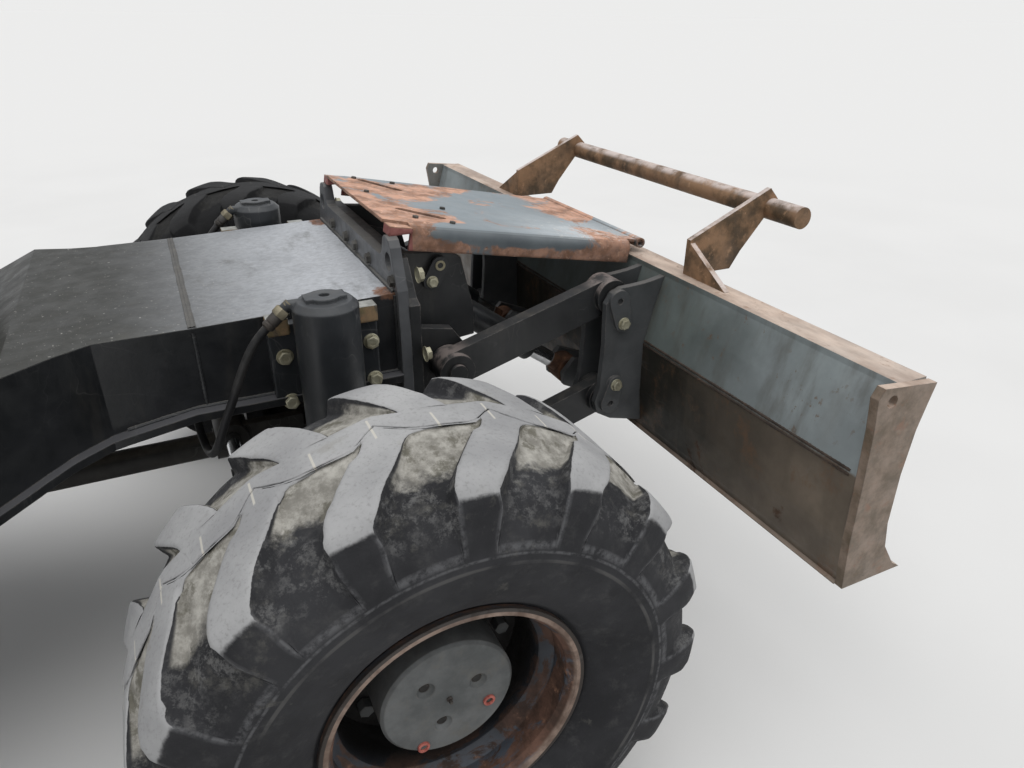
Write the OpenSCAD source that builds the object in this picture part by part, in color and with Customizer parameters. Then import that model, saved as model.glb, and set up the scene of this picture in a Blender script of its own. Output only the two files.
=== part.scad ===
// Undercarriage of a wheeled excavator with a front dozer blade.
// Millimetres, +X forwards to the blade, +Y to the left, +Z up, z = 0 on the ground,
// origin below the middle of the overall length and width.

/* [Overall] */
// Distance between the front and rear axles
wheelbase = 2600; // [2500:10:2700]
// Distance between the centre planes of a left and a right tyre
track = 2070; // [2040:2:2090]
// Reach from the front axle to the front of the bucket rest
front_reach = 1274; // [1274:1:1300]
// Distance from the front axle back to the slewing axis
slew_back = 1400; // [1350:10:1450]

/* [Wheels] */
// Outside diameter of a tyre over its lugs
tyre_d = 1100; // [1080:2:1110]
// Section width of a tyre
tyre_w = 457; // [440:1:465]
// Half of the flat tread width
tread_half = 150; // [140:1:160]
// Radius of the casing at the bottom of the tread grooves
groove_r = 514; // [508:1:520]
// Number of lugs on each side of a tyre
lug_count = 16; // [14:1:20]
// Radius of the rim's flange
rim_r = 262; // [255:1:266]
// Width of the rim over its flanges
rim_w = 368; // [350:1:380]
// Plate thickness of the rim
rim_t = 12; // [8:1:14]
// Outer face of the hub cover, measured outwards from the tyre's centre plane
hub_face = 123; // [110:1:140]
// Radius of the hub cover
hub_r = 135; // [125:1:138]
// Outer face of the rim's disc, measured inwards from the tyre's centre plane
disc_in = 20; // [0:1:40]
// Pitch circle diameter of the wheel nuts
wheel_pcd = 335; // [330:1:340]
// Number of wheel nuts
wheel_nuts = 10; // [8:1:10]

/* [Frame] */
// Half width of the front and rear beams
beam_half = 400; // [390:1:410]
// Half width of the centre box
box_half = 600; // [590:1:640]
// Height of the beams' top at the end flanges
beam_top = 1092; // [1080:1:1100]
// Height of the centre box's top plate
deck_z = 1000; // [990:1:1010]
// Height of the front beam's underside
beam_low = 860; // [850:1:870]
// Height of the centre box's underside
box_low = 640; // [630:1:660]
// How far the bottom flange stands out of the side plates
lip_out = 35; // [20:1:40]
// Thickness of the bottom flange
lip_t = 20; // [14:1:24]
// Thickness of an end flange plate
flange_t = 28; // [24:1:30]
// Height of the end flange between its ears
flange_top = 1160; // [1150:1:1165]
// Height of the ears' tops
ear_top = 1222; // [1210:1:1230]
// Bore radius of a tie-down hole in an ear
tie_r = 24; // [18:1:26]
// Outer radius of the slewing ring's seat
seat_r = 590; // [580:1:600]

/* [Slewing ring] */
// Outer radius of the turning ring
ring_r = 595; // [590:1:600]
// Inner radius of the toothed ring, to the tooth tips
gear_r = 468; // [460:1:472]
// Number of teeth inside the ring
gear_teeth = 94; // [90:1:96]
// Height of the slewing ring
ring_h = 90; // [80:1:100]
// Pitch circle diameter of the top bolt holes
ring_pcd = 1134; // [1130:1:1138]
// Number of top bolt holes
ring_bolts = 36; // [30:6:36]
// Radius of a top bolt hole
ring_bolt_r = 11; // [9:0.5:12]

/* [Front axle] */
// Distance from the tyre's centre plane in to the kingpin
kingpin_in = 140; // [135:1:145]
// Radius of the kingpins
kingpin_r = 32; // [28:1:36]
// Radius of the swing bearing
swing_r = 60; // [55:1:65]
// Distance from the axle back to the steering cylinder
steer_back = 256; // [254:1:262]
// Height of the steering cylinder above the axle
steer_up = 118; // [115:1:122]

/* [Oscillation cylinders] */
// Distance of each cylinder from the middle
osc_y = 500; // [495:1:510]
// Distance of the cylinders behind the front axle
osc_back = 24; // [20:1:30]
// Outer radius of the barrel
osc_r = 75; // [70:1:78]
// Radius of the rod
osc_rod_r = 34; // [30:1:40]
// Height of the barrel's top
osc_top = 1150; // [1140:1:1160]

/* [Blade linkage] */
// Distance of the arms' middle plane from the machine's middle
arm_y = 420; // [416:1:424]
// Thickness of an arm
arm_t = 40; // [36:1:42]
// Depth of an arm
arm_h = 100; // [90:1:110]
// Radius of the arms' pivot pins
pin_r = 25; // [22:1:28]
// Distance of the lift cylinders from the middle
lift_y = 225; // [222:1:228]
// Radius of the lift cylinder's tube
lift_r = 42; // [38:1:44]
// Radius of the lift cylinder's rod
lift_rod_r = 25; // [22:1:28]

/* [Blade] */
// Width of the blade over its end plates
blade_w = 2550; // [2500:10:2560]
// Height of the blade's top strip
blade_top = 1072; // [1065:1:1080]
// Thickness of the end plates
end_t = 20; // [16:1:24]
// Half length of the bucket rest's pipe
rest_half = 655; // [640:5:700]
// Radius of the bucket rest's pipe
rest_r = 30; // [25:1:32]

/* [Hidden] */
$fn = 64;

gap = 0.3;
wheel_r = tyre_d / 2;
axle_x = (wheelbase + wheel_r - front_reach) / 2;
rear_x = axle_x - wheelbase;
slew_x = axle_x - slew_back;
wheel_y = track / 2;
kingpin_y = wheel_y - kingpin_in;

// Shapes

module plate_y(outline, y0, t) {
    translate([0, y0 + t, 0]) rotate([90, 0, 0]) linear_extrude(t) polygon(outline);
}

module plate_x(outline, x0, t) {
    translate([x0, 0, 0]) rotate([90, 0, 90]) linear_extrude(t) polygon(outline);
}

module cyl_y(r, y0, y1) {
    translate([0, y1, 0]) rotate([90, 0, 0]) cylinder(r = r, h = y1 - y0);
}

module cyl_x(r, x0, x1) {
    translate([x0, 0, 0]) rotate([0, 90, 0]) cylinder(r = r, h = x1 - x0);
}

module both_sides() {
    children();
    mirror([0, 1, 0]) children();
}

module block(x0, x1, y0, y1, z0, z1) {
    translate([x0, y0, z0]) cube([x1 - x0, y1 - y0, z1 - z0]);
}

module on_front() {
    translate([axle_x, 0, 0]) children();
}

// Frame, in a frame whose x = 0 is the front axle

flange_x = 170;
rear_flange_x = -wheelbase - 170;
top_line = [[flange_x, beam_top], [-300, beam_top - 14], [-500, beam_top - 16], [-680, beam_top - 28],
    [-790, deck_z], [-2000, deck_z], [-2090, deck_z + 12], [-2260, beam_top - 26], [-2400, beam_top - 14],
    [rear_flange_x, beam_top - 6]];
low_line = [[rear_flange_x, beam_low - 60], [450 - wheelbase, beam_low - 60], [640 - wheelbase, box_low],
    [-960, box_low],
    [-860, box_low + 44], [-740, 772], [-650, 800], [-597, 814], [-480, 836], [-330, beam_low],
    [flange_x, beam_low]];
plan = [[flange_x, beam_half], [-510, beam_half], [-580, beam_half + 28], [-660, beam_half + 75],
    [-900, box_half], [-1900, box_half], [-2040, beam_half],
    [rear_flange_x, beam_half]];

module plan_outline(grow) {
    half = [for (p = plan) [p[0], p[1] + grow]];
    other = [for (i = [len(plan) - 1:-1:0]) [plan[i][0], -plan[i][1] - grow]];
    polygon(concat(half, other));
}

module bottom_lip() {
    strip = concat(low_line, [for (i = [len(low_line) - 1:-1:0]) [low_line[i][0], low_line[i][1] + lip_t]]);
    intersection() {
        plate_y(strip, -box_half - lip_out, 2 * (box_half + lip_out));
        linear_extrude(deck_z) plan_outline(lip_out);
    }
}

bearing_r = 105;
neck_r = swing_r + 12;
rear_bearing_x = -205;
rear_bearing_t = 45;
tongue_top = 125;

// A plate that hangs down round the swing axis, with its bore
module bearing_tongue(x0, t, top, bore) {
    difference() {
        union() {
            plate_x([[-tongue_top, top], [-bearing_r, wheel_r], [bearing_r, wheel_r], [tongue_top, top]],
                x0, t);
            translate([0, 0, wheel_r]) cyl_x(bearing_r, x0, x0 + t);
        }
        translate([0, 0, wheel_r]) cyl_x(bore, x0 - 1, x0 + t + 1);
    }
}

module frame_main() color("dimgray") on_front() {
    well_r = 400;
    difference() {
        union() {
            intersection() {
                plate_y(concat(top_line, low_line), -box_half, 2 * box_half);
                linear_extrude(2 * deck_z) plan_outline(0);
            }
            bottom_lip();
            translate([-slew_back, 0, deck_z - 5]) cylinder(r = seat_r, h = 80, $fn = 96);
        }
        translate([-slew_back, 0, box_low + lip_t]) cylinder(r = well_r, h = deck_z, $fn = 96);
    }
    bearing_tongue(rear_bearing_x, rear_bearing_t, beam_low + 5, neck_r);
}

module flange_outline(low) {
    half = [[beam_half + 26, low], [beam_half + 26, 960], [beam_half + 20, 1100], [beam_half + 5, 1136],
        [beam_half - 12, 1176], [beam_half - 20, ear_top - 22], [beam_half - 34, ear_top - 6],
        [beam_half - 50, ear_top], [beam_half - 70, ear_top], [beam_half - 81, ear_top - 9],
        [beam_half - 89, ear_top - 28], [beam_half - 97, flange_top + 14], [beam_half - 108, flange_top + 4],
        [beam_half - 122, flange_top]];
    other = [for (i = [len(half) - 1:-1:0]) [-half[i][0], half[i][1]]];
    polygon(concat(half, other));
}

tie_z = 1160;
tie_y = beam_half - 45;

module flange_plate(x0, low) {
    difference() {
        translate([x0, 0, 0]) rotate([90, 0, 90]) linear_extrude(flange_t) flange_outline(low);
        both_sides() translate([0, tie_y, tie_z]) cyl_x(tie_r, x0 - 1, x0 + flange_t + 1);
    }
}

module front_flange() color("dimgray") on_front() {
    flange_plate(flange_x, 700);
    bearing_tongue(flange_x, flange_t, 705, swing_r);
}

rear_bolt_y = 600;
rear_bolt_z = 180;
rear_bolt_r = 13;
rear_bolt_mid = 940;

module rear_flange() color("dimgray") on_front() difference() {
    flange_plate(rear_flange_x - flange_t, 740);
    for (y = [-1, 1], z = [-1, 1])
        translate([0, y * rear_bolt_y / 2, rear_bolt_mid + z * rear_bolt_z / 2])
            cyl_x(rear_bolt_r, rear_flange_x - flange_t - 1, rear_flange_x + 1);
}

// Blade linkage pivots, x from the front axle

upper_rear = [310, 868];
lower_rear = [304, 549];
upper_front = [783, 1008];
lower_front = [777, 689];
lift_rear = [290, 1040];
bracket_x = flange_x + flange_t;

module pin_at(p, r, y0, y1) {
    translate([p[0], 0, p[1]]) cyl_y(r, y0, y1);
}

module blade_bracket() color("dimgray") on_front() {
    plate_x([[-425, 700], [-425, 1060], [-400, 1072], [-340, flange_top], [340, flange_top], [400, 1072],
        [425, 1060], [425, 700]], bracket_x, flange_t);
    bearing_tongue(bracket_x, flange_t, 705, swing_r);
    both_sides() {
        plate_y([[bracket_x + flange_t - 1, 440], [330, 470], [365, 520], [372, 900], [330, 960],
            [bracket_x + flange_t - 1, 980]], arm_y - 75, 32);
        plate_y([[bracket_x + flange_t - 1, 880], [424, 900], [424, 978], [388, 1130], [360, 1146],
            [bracket_x + flange_t - 1, flange_top]], lift_y + lift_r + 9, 24);
        plate_y([[bracket_x + flange_t - 1, 970], [330, 985], [345, 1040], [320, 1100],
            [bracket_x + flange_t - 1, 1130]], lift_y - lift_r - 27, 18);
        pin_at(upper_rear, pin_r, arm_y - 60, arm_y + arm_t / 2 + 30);
        pin_at(lower_rear, pin_r, arm_y - 60, arm_y + arm_t / 2 + 30);
        pin_at(lift_rear, pin_r - 3, lift_y - lift_r - 10, lift_y + lift_r + 20);
    }
}

tooth_h = 20;

module slew_ring_inner() color("silver") translate([slew_x, 0, deck_z + 75]) difference() {
    cylinder(r = ring_r - 58, h = ring_h - 10, $fn = 128);
    translate([0, 0, -1]) cylinder(r = gear_r, h = ring_h, $fn = 128);
    tooth_gap = [[gear_r - 2, -10], [gear_r + tooth_h, -5], [gear_r + tooth_h, 5], [gear_r - 2, 10]];
    for (i = [0:gear_teeth - 1]) rotate(i * 360 / gear_teeth)
        translate([0, 0, -1]) linear_extrude(ring_h) polygon(tooth_gap);
}

module slew_ring_outer() color("silver") translate([slew_x, 0, deck_z + 80]) difference() {
    cylinder(r = ring_r, h = ring_h, $fn = 128);
    translate([0, 0, -1]) cylinder(r = ring_r - 57, h = ring_h + 2, $fn = 128);
    for (i = [0:ring_bolts - 1]) rotate(i * 360 / ring_bolts)
        translate([ring_pcd / 2, 0, -1]) cylinder(r = ring_bolt_r, h = ring_h + 2, $fn = 24);
}

module rotary_joint() color("dimgray") translate([slew_x, 0, box_low + lip_t]) {
    cylinder(r = 110, h = 330);
    translate([0, 0, 330]) cylinder(r = 85, h = 130);
    translate([0, 0, 0]) cylinder(r = 150, h = 25);
}

// Axles

diff_r = 150;

module beam_casting(half) {
    rotate([90, 0, 0]) for (s = [0, 1]) mirror([0, 0, s]) {
        cylinder(r = 85, h = half);
        cylinder(r = diff_r, h = 120);
        translate([0, 0, 120]) cylinder(r1 = diff_r - 10, r2 = 85, h = 150);
    }
}

yoke_h = 165;

module front_axle() color("dimgray") on_front() translate([0, 0, wheel_r]) {
    beam_casting(kingpin_y - 100);
    cyl_x(swing_r - 0.05, 100, bracket_x + flange_t + 12);
    cyl_x(neck_r - 0.05, rear_bearing_x - 5, -100);
    both_sides() {
        for (s = [-1, 1]) {
            translate([0, kingpin_y, s * (yoke_h - 20) - 20]) cylinder(r = kingpin_r + 30, h = 40);
            translate([0, kingpin_y, s * (yoke_h + 6) - 7]) cylinder(r = kingpin_r + 14, h = 14);
            block(-60, 60, kingpin_y - 140, kingpin_y, s * (yoke_h - 20) - 20, s * (yoke_h - 20) + 20);
        }
        block(-60, 60, kingpin_y - 150, kingpin_y - 98, -yoke_h, yoke_h);
        block(-osc_back - 45, -osc_back + 45, osc_y - 45, osc_y + 45, 60, 110);
        block(-100, -60, 156, 188, steer_up - 40, steer_up + 26);
        block(-100, 0, 156, 188, 40, steer_up - 10);
    }
}

steer_half = 205;
steer_r = 42;
steer_rod_r = 22;
rod_end_y = 430;

module on_steering() {
    on_front() translate([-steer_back, 0, wheel_r + steer_up]) children();
}

module steering_cylinder() color("dimgray") on_steering() difference() {
    union() {
        cyl_y(steer_r, -steer_half, steer_half);
        both_sides() block(0, steer_back - 100, 156, 188, -30, 26);
    }
    cyl_y(steer_rod_r + gap, -steer_half - 1, steer_half + 1);
}

module steer_rod() color("silver") on_steering() {
    cyl_y(steer_rod_r, -rod_end_y + 20, rod_end_y - 20);
    both_sides() difference() {
        block(-26, 26, rod_end_y - 30, rod_end_y + 26, -26, 26);
        block(-27, 27, rod_end_y - 22, rod_end_y + 27, -14, 14);
    }
}

// Steering arm's eye from the kingpin
arm_end = [-steer_back, -110];
steer_arm = [[-20, -60], [-140, -54], [arm_end[0] + 22, arm_end[1] - 26], [arm_end[0] - 24, arm_end[1] - 26],
    [arm_end[0] - 30, arm_end[1] + 14], [-200, -54], [-165, 10], [-20, 50]];
steer_arm_t = 24;
steer_arm_z = steer_up - 42;
tie_len = kingpin_y + arm_end[1] - rod_end_y;

module tie_rod(s) {
    on_steering() translate([0, s * rod_end_y, 0]) {
        translate([0, 0, -13.7]) cylinder(r = 18, h = 27.4);
        translate([0, s > 0 ? 10 : 10 - tie_len, 0]) cyl_y(12, 0, tie_len - 20);
        translate([0, s * tie_len, steer_arm_z + steer_arm_t - steer_up + gap]) cylinder(r = 26, h = 42);
    }
}

module tie_rod_left() color("dimgray") tie_rod(1);
module tie_rod_right() color("dimgray") tie_rod(-1);

module knuckle(s) {
    hub_back = kingpin_in - disc_in - 36;
    on_front() mirror([0, s > 0 ? 0 : 1, 0]) translate([0, kingpin_y, wheel_r]) {
        cylinder(r = kingpin_r + 46, h = 2 * (yoke_h - 40 - gap), center = true);
        cyl_y(116, 40, hub_back - gap);
        cyl_y(60, 60, hub_back + 16 - gap);
        translate([0, 0, steer_arm_z]) linear_extrude(steer_arm_t) polygon(steer_arm);
    }
}

module knuckle_left() color("dimgray") knuckle(1);
module knuckle_right() color("dimgray") knuckle(-1);

// Oil port of an oscillation cylinder and its sleeve, which points back and down
port = [-osc_back - osc_r - 6, osc_y - 20, 1128];
port_turn = 228.6;
port_way = [sin(port_turn), 0, cos(port_turn)];
port_len = 30;
port_end = port + port_len * port_way;

module osc_cylinders() color("dimgray") on_front() both_sides() {
    difference() {
        union() {
            translate([-osc_back, osc_y, 820]) cylinder(r = osc_r, h = osc_top - 24 - 820);
            translate([-osc_back, osc_y, osc_top - 24]) cylinder(r1 = osc_r, r2 = osc_r - 14, h = 14);
            translate([-osc_back, osc_y, osc_top - 12]) difference() {
                union() {
                    cylinder(r = 38, h = 12);
                    block(-46, 46, -22, 22, 0, 12);
                }
                translate([0, 0, 3]) cylinder(r = 12, h = 12);
            }
            block(-150, 110, beam_half, beam_half + 30, 842, 1065);
            block(-osc_back - 60, -osc_back + 60, beam_half + 20, osc_y, 840, 1050);
            for (x = [-150, 62]) block(x, x + 48, beam_half, beam_half + 44, 1045, 1085);
            translate([0, port[1], port[2]]) cyl_x(14, port[0] - 4, port[0] + 40);
            translate(port) rotate([0, port_turn, 0]) cylinder(r = 13, h = port_len);
        }
        translate([-osc_back, osc_y, 819]) cylinder(r = osc_rod_r + gap, h = osc_top - 819 - 30);
        block(-160, 120, beam_half - 1, beam_half + lip_out + 1, 820, beam_low + lip_t + 0.5);
    }
}

osc_pad_z = wheel_r + 110;
osc_foot_r = osc_rod_r;
osc_foot_gap = 2.2;

module osc_rod(s) {
    on_front() translate([-osc_back, s * osc_y, osc_pad_z + osc_foot_gap]) {
        translate([0, 0, osc_foot_r]) sphere(r = osc_foot_r);
        translate([0, 0, osc_foot_r]) cylinder(r = osc_rod_r, h = 290);
    }
}

module osc_rod_left() color("silver") osc_rod(1);
module osc_rod_right() color("silver") osc_rod(-1);

hose_r = 11;
// Route of the left hose from the cylinder's fitting down past the lip and up to the frame's underside
hose_route = [port_end, port_end + 18 * port_way, [-156, 479.5, 1082.5], [-171, 478, 1067],
    [-185, 476, 1050], [-197, 473, 1031], [-207, 470, 1012], [-216, 467, 993], [-233, 461, 953],
    [-250, 458, 912], [-269, 457, 872], [-285, 457, 836], [-297, 451, 804], [-307, 435, 776],
    [-315, 410, 755], [-321, 379, 743], [-326, 347, 743], [-330, 316, 755], [-333, 291, 776],
    [-335, 275, 803], [-335, 269, 835], [-335, 269, 857]];

hose_sides = 12;

function unit(v) = v / norm(v);
function along(route, i) = unit(route[min(i + 1, len(route) - 1)] - route[max(i - 1, 0)]);

// For each point of a route two directions square to it, carried on from the point before without twist
function crosswise(route, i, before) = i == len(route) ? []
    : let (t = along(route, i), n = unit(before - (before * t) * t))
        concat([[n, cross(t, n)]], crosswise(route, i + 1, n));

function ring_face(i, k, n) = [i * n + k, i * n + (k + 1) % n, (i + 1) * n + (k + 1) % n, (i + 1) * n + k];

// A tube along a route, with flat ends
module tube_along(route, r, sides) {
    frames = crosswise(route, 0, [0, 1, 0]);
    last = len(route) - 1;
    points = [for (i = [0:last], k = [0:sides - 1]) let (a = k * 360 / sides)
        route[i] + r * (cos(a) * frames[i][0] + sin(a) * frames[i][1])];
    walls = [for (i = [0:last - 1], k = [0:sides - 1]) let (f = ring_face(i, k, sides))
        each [[f[0], f[2], f[1]], [f[0], f[3], f[2]]]];
    ends = [[for (k = [0:sides - 1]) k], [for (k = [sides - 1:-1:0]) last * sides + k]];
    polyhedron(points, concat(walls, ends));
}

module osc_hoses() color("black") on_front() both_sides() tube_along(hose_route, hose_r, hose_sides);

gearbox_x = 165;

module rear_axle() color("dimgray") translate([rear_x, 0, wheel_r]) {
    beam_casting(wheel_y - 180);
    both_sides() block(-90, 90, 220, 380, 60, beam_low - 60 - wheel_r);
    both_sides() cyl_y(116, wheel_y - 220, wheel_y - disc_in - 36 - gap);
    both_sides() cyl_y(60, wheel_y - 120, wheel_y - disc_in - 20 - gap);
    cyl_x(110, 60, gearbox_x);
}

module travel_gearbox() color("dimgray") translate([rear_x, 0, wheel_r]) {
    block(gearbox_x, 330, -140, 140, -110, 130);
    cyl_x(62, 325, 345);
    block(180, 300, 0, 120, 125, 190);
    translate([0, -60, 150]) cyl_x(62, 190, 318);
}

module prop_shaft() color("dimgray") translate([0, 0, wheel_r]) {
    cyl_x(38, rear_x + 420, axle_x - 270);
    cyl_x(60, rear_x + 345, rear_x + 365);
    cyl_x(60, axle_x + rear_bearing_x - 24, axle_x + rear_bearing_x - 5 - gap);
    cyl_x(48, rear_x + 365, rear_x + 430);
    cyl_x(48, axle_x - 300, axle_x + rear_bearing_x - 24);
}

module step(s) {
    mirror([0, s > 0 ? 0 : 1, 0]) translate([slew_x, 0, 0]) {
        difference() {
            block(-250, 250, box_half + 60, box_half + 230, 555, 590);
            for (i = [0:6]) block(-222 + i * 65, -168 + i * 65, box_half + 82, box_half + 208, 554, 591);
        }
        for (x = [-200, 170]) {
            block(x, x + 30, box_half + lip_out + 5, box_half + 220, 585, 615);
            block(x, x + 30, box_half + lip_out, box_half + lip_out + 20, 585, 760);
            block(x, x + 30, box_half, box_half + lip_out + 10, 700, 760);
        }
    }
}

module step_left() color("dimgray") step(1);
module step_right() color("dimgray") step(-1);

// Wheels, in a frame whose origin is the wheel's middle with +Y outwards

module wheel_place(front, s) {
    translate([front ? axle_x : rear_x, s * wheel_y, wheel_r]) mirror([0, s > 0 ? 0 : 1, 0]) children();
}

function mirrored(outline) = [for (i = [len(outline) - 1:-1:0]) [outline[i][0], -outline[i][1]]];

module revolve_y(outline, faces = 72) {
    rotate([-90, 0, 0]) rotate_extrude($fn = faces) polygon(outline);
}

bead_y = rim_w / 2 - rim_t - 4;
// Rows across the tread from the middle out: half width, radius in the groove, radius on the lug,
// angle of the lug's rear edge, angle of its front edge
tread_rows = [[5, wheel_r - 12, wheel_r, -10, 9.5], [40, wheel_r - 14, wheel_r, -12.6, -2.6],
    [tread_half, groove_r, wheel_r, -20.7, -10.5], [205, 486, 518, -22.6, -15.4]];
// Rows down the side to the bead: half width and radius
wall_rows = [[tyre_w / 2, 395], [bead_y + 3.6, rim_r + 1.4], [bead_y - 0.5, rim_r - 13.7]];
wall_edge = -22;
last_row = 4 * (len(tread_rows) - 1);
per_lug = 4 * len(tread_rows) + 2 * len(wall_rows);
pitch = 360 / lug_count;

// Points of one lug and the wall below it, on side 0 or 1
function lug_points(side, i) = let (turn = (i + side / 2) * pitch, s = 1 - 2 * side) [
    for (t = tread_rows) each [for (q = [[t[1], t[3]], [t[2], t[3]], [t[2], t[4]], [t[1], t[4]]])
        [q[0] * sin(q[1] + turn), s * t[0], q[0] * cos(q[1] + turn)]],
    for (w = wall_rows) each [for (a = [wall_edge, wall_edge + pitch / 2])
        [w[1] * sin(a + turn), s * w[0], w[1] * cos(a + turn)]]];

function at(side, i, k) = (side * lug_count + (i + lug_count) % lug_count) * per_lug + k;
function quad(a, b, c, d) = [[a, b, c], [a, c, d]];
function turned(faces, side) = [for (f = faces) side == 1 ? f : [f[2], f[1], f[0]]];

function lug_faces(side, i) = let (p = [for (k = [0:per_lug - 1]) at(side, i, k)],
        q = [for (k = [0:per_lug - 1]) at(side, i + 1, k)]) [
    each quad(p[3], p[2], p[1], p[0]),
    for (k = [0:4:last_row - 4], c = [0:3]) each c < 3
        ? quad(p[k + c], p[k + c + 1], p[k + c + 5], p[k + c + 4])
        : quad(p[k + 3], q[k], q[k + 4], p[k + 7]),
    [p[last_row], p[last_row + 1], p[last_row + 4]],
    each quad(p[last_row + 1], p[last_row + 2], p[last_row + 5], p[last_row + 4]),
    [p[last_row + 2], p[last_row + 3], p[last_row + 5]],
    each quad(p[last_row + 3], q[last_row], q[last_row + 4], p[last_row + 5]),
    for (k = [last_row + 4:2:per_lug - 4]) each concat(quad(p[k], p[k + 1], p[k + 3], p[k + 2]),
        quad(p[k + 1], q[k], q[k + 2], p[k + 3]))];

// Faces between the two sides, along the edges a and b of each lug
function bridge(i, a, b) = concat(
    quad(at(1, i - 1, b), at(1, i, a), at(0, i, b), at(0, i, a)),
    quad(at(1, i, a), at(1, i, b), at(0, i + 1, a), at(0, i, b)));

module tyre() {
    each_lug = [0:lug_count - 1];
    points = [for (side = [0, 1], i = each_lug) each lug_points(side, i)];
    faces = [for (side = [0, 1], i = each_lug) each turned(lug_faces(side, i), side),
        for (i = each_lug) each turned(bridge(i, 0, 3), 0),
        for (i = each_lug) each bridge(i, per_lug - 2, per_lug - 1)];
    polyhedron(points, faces);
}

well_r = rim_r - 29;

module rim() {
    h = rim_w / 2;
    bead_seat = [[rim_r, h], [rim_r, h - rim_t], [rim_r - 15, h - rim_t - 4], [rim_r - 17, 120],
        [rim_r - 40, 95]];
    inside = [[rim_r - 52, 90], [well_r, 114], [well_r, h - 20], [rim_r - 16, h]];
    disc = [[rim_r - 52, -disc_in - 16], [hub_r + 6, -disc_in - 16], [hub_r + 6, -disc_in],
        [rim_r - 52, -disc_in]];
    revolve_y(concat(bead_seat, mirrored(bead_seat), mirrored(inside), disc, inside));
}

module hub() {
    flange_r = wheel_pcd / 2 + 24;
    difference() {
        revolve_y([[0, hub_face], [hub_r - 6, hub_face], [hub_r, hub_face - 6], [hub_r, -disc_in - 16],
            [flange_r, -disc_in - 16], [flange_r, -disc_in - 36], [100, -disc_in - 36], [100, -disc_in - 20],
            [0, -disc_in - 20]]);
        for (a = [17, 137, 257]) rotate([0, -a, 0])
            translate([63, hub_face + 8, 0]) sphere(r = 20, $fn = 48);
    }
    for (i = [0:wheel_nuts - 1]) rotate([0, i * 360 / wheel_nuts, 0])
        translate([wheel_pcd / 2, 0, 0]) cyl_y(16, -disc_in, -disc_in + 24, $fn = 6);
}

module tyre_front_left() color("black") wheel_place(true, 1) tyre();
module rim_front_left() color("saddlebrown") wheel_place(true, 1) rim();
module hub_front_left() color("dimgray") wheel_place(true, 1) hub();
module tyre_front_right() color("black") wheel_place(true, -1) tyre();
module rim_front_right() color("saddlebrown") wheel_place(true, -1) rim();
module hub_front_right() color("dimgray") wheel_place(true, -1) hub();
module tyre_rear_left() color("black") wheel_place(false, 1) tyre();
module rim_rear_left() color("saddlebrown") wheel_place(false, 1) rim();
module hub_rear_left() color("dimgray") wheel_place(false, 1) hub();
module tyre_rear_right() color("black") wheel_place(false, -1) tyre();
module rim_rear_right() color("saddlebrown") wheel_place(false, -1) rim();
module hub_rear_right() color("dimgray") wheel_place(false, -1) hub();

// Blade linkage

hub_eye_r = 50;
hub_eye_half = 40;

module link(rear, front) {
    d = front - rear;
    length = norm(d);
    both_sides() difference() {
        translate([rear[0], arm_y, rear[1]]) rotate([0, -atan2(d[1], d[0]), 0]) union() {
            block(0, length, -arm_t / 2, arm_t / 2, -arm_h / 2, arm_h / 2);
            for (x = [0, length]) translate([x, 0, 0]) cyl_y(hub_eye_r, -hub_eye_half, hub_eye_half);
        }
        for (p = [rear, front]) pin_at(p, pin_r + gap, arm_y - 60, arm_y + 60);
    }
}

module upper_links() color("dimgray") on_front() link(upper_rear, upper_front);
module lower_links() color("dimgray") on_front() link(lower_rear, lower_front);

rib_y = [arm_y - hub_eye_half - 25, arm_y + hub_eye_half + 5];
rib_t = 20;
strip_t = 14;
strip_x = 935;
strip_front = 1014;
blade_back = [[strip_x, blade_top - strip_t], [908, 960], [884, 860], [888, 700], [900, 600], [908, 575]];
rib_seat = [for (p = blade_back) if (p[1] > 590) p];
lug_seat = [for (p = blade_back) if (p[1] > 590 && p[1] < 850) p];
mould_r = 526;
mould_at = [1500, 871];
edge_bar = [[1012, 632], [1030, 644], [1088, 567], [1060, 567]];

module blade_board() color("steelblue") on_front() {
    inner = blade_w / 2 - end_t;
    difference() {
        plate_y(concat(blade_back, [[900, 567], [1086, 567], [1086, blade_top - strip_t]]),
            -inner, 2 * inner);
        pin_at(mould_at, mould_r, -inner - 1, inner + 1, $fn = 180);
        plate_y(edge_bar, -inner - 1, 2 * inner + 2);
        block(1034, 1100, -inner - 1, inner + 1, 600, 1100);
    }
    block(strip_x, strip_front, -inner, inner, blade_top - strip_t, blade_top);
    both_sides() difference() {
        plate_y([[856, 1060], [868, 1083], [1022, 1066], [1012, 1020], [1000, 960], [994, 850], [1000, 720],
            [1016, 650], [1062, 585], [1090, 567], [904, 567], [888, 700], [880, 840], [868, 985]],
            inner, end_t);
        pin_at([898, 1049], 14, inner - 1, inner + end_t + 1);
    }
}

module cutting_edge() color("silver") on_front() plate_y(edge_bar, end_t - blade_w / 2, blade_w - 2 * end_t);

module blade_ribs() color("dimgray") on_front() both_sides() {
    for (y = rib_y) plate_y(concat(rib_seat, [[787, 631], [742, 658], [729, 695], [743, 743], [750, 868],
        [745, 1000], [764, 1029], [792, 1042], [840, 1044], [885, 1048], [915, 1054]]), y, rib_t);
    for (y = [lift_y - 59, lift_y + 41])
        plate_y(concat(lug_seat, [[780, 640], [740, 660], [735, 700], [777, 745]]), y, 18);
    pin_at(upper_front, pin_r, rib_y[0] - 5, rib_y[1] + rib_t);
    pin_at(lower_front, pin_r, rib_y[0] - 5, rib_y[1] + rib_t);
    retainer(upper_front, [17, -68]);
    retainer(lower_front, [14, 59]);
}

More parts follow.
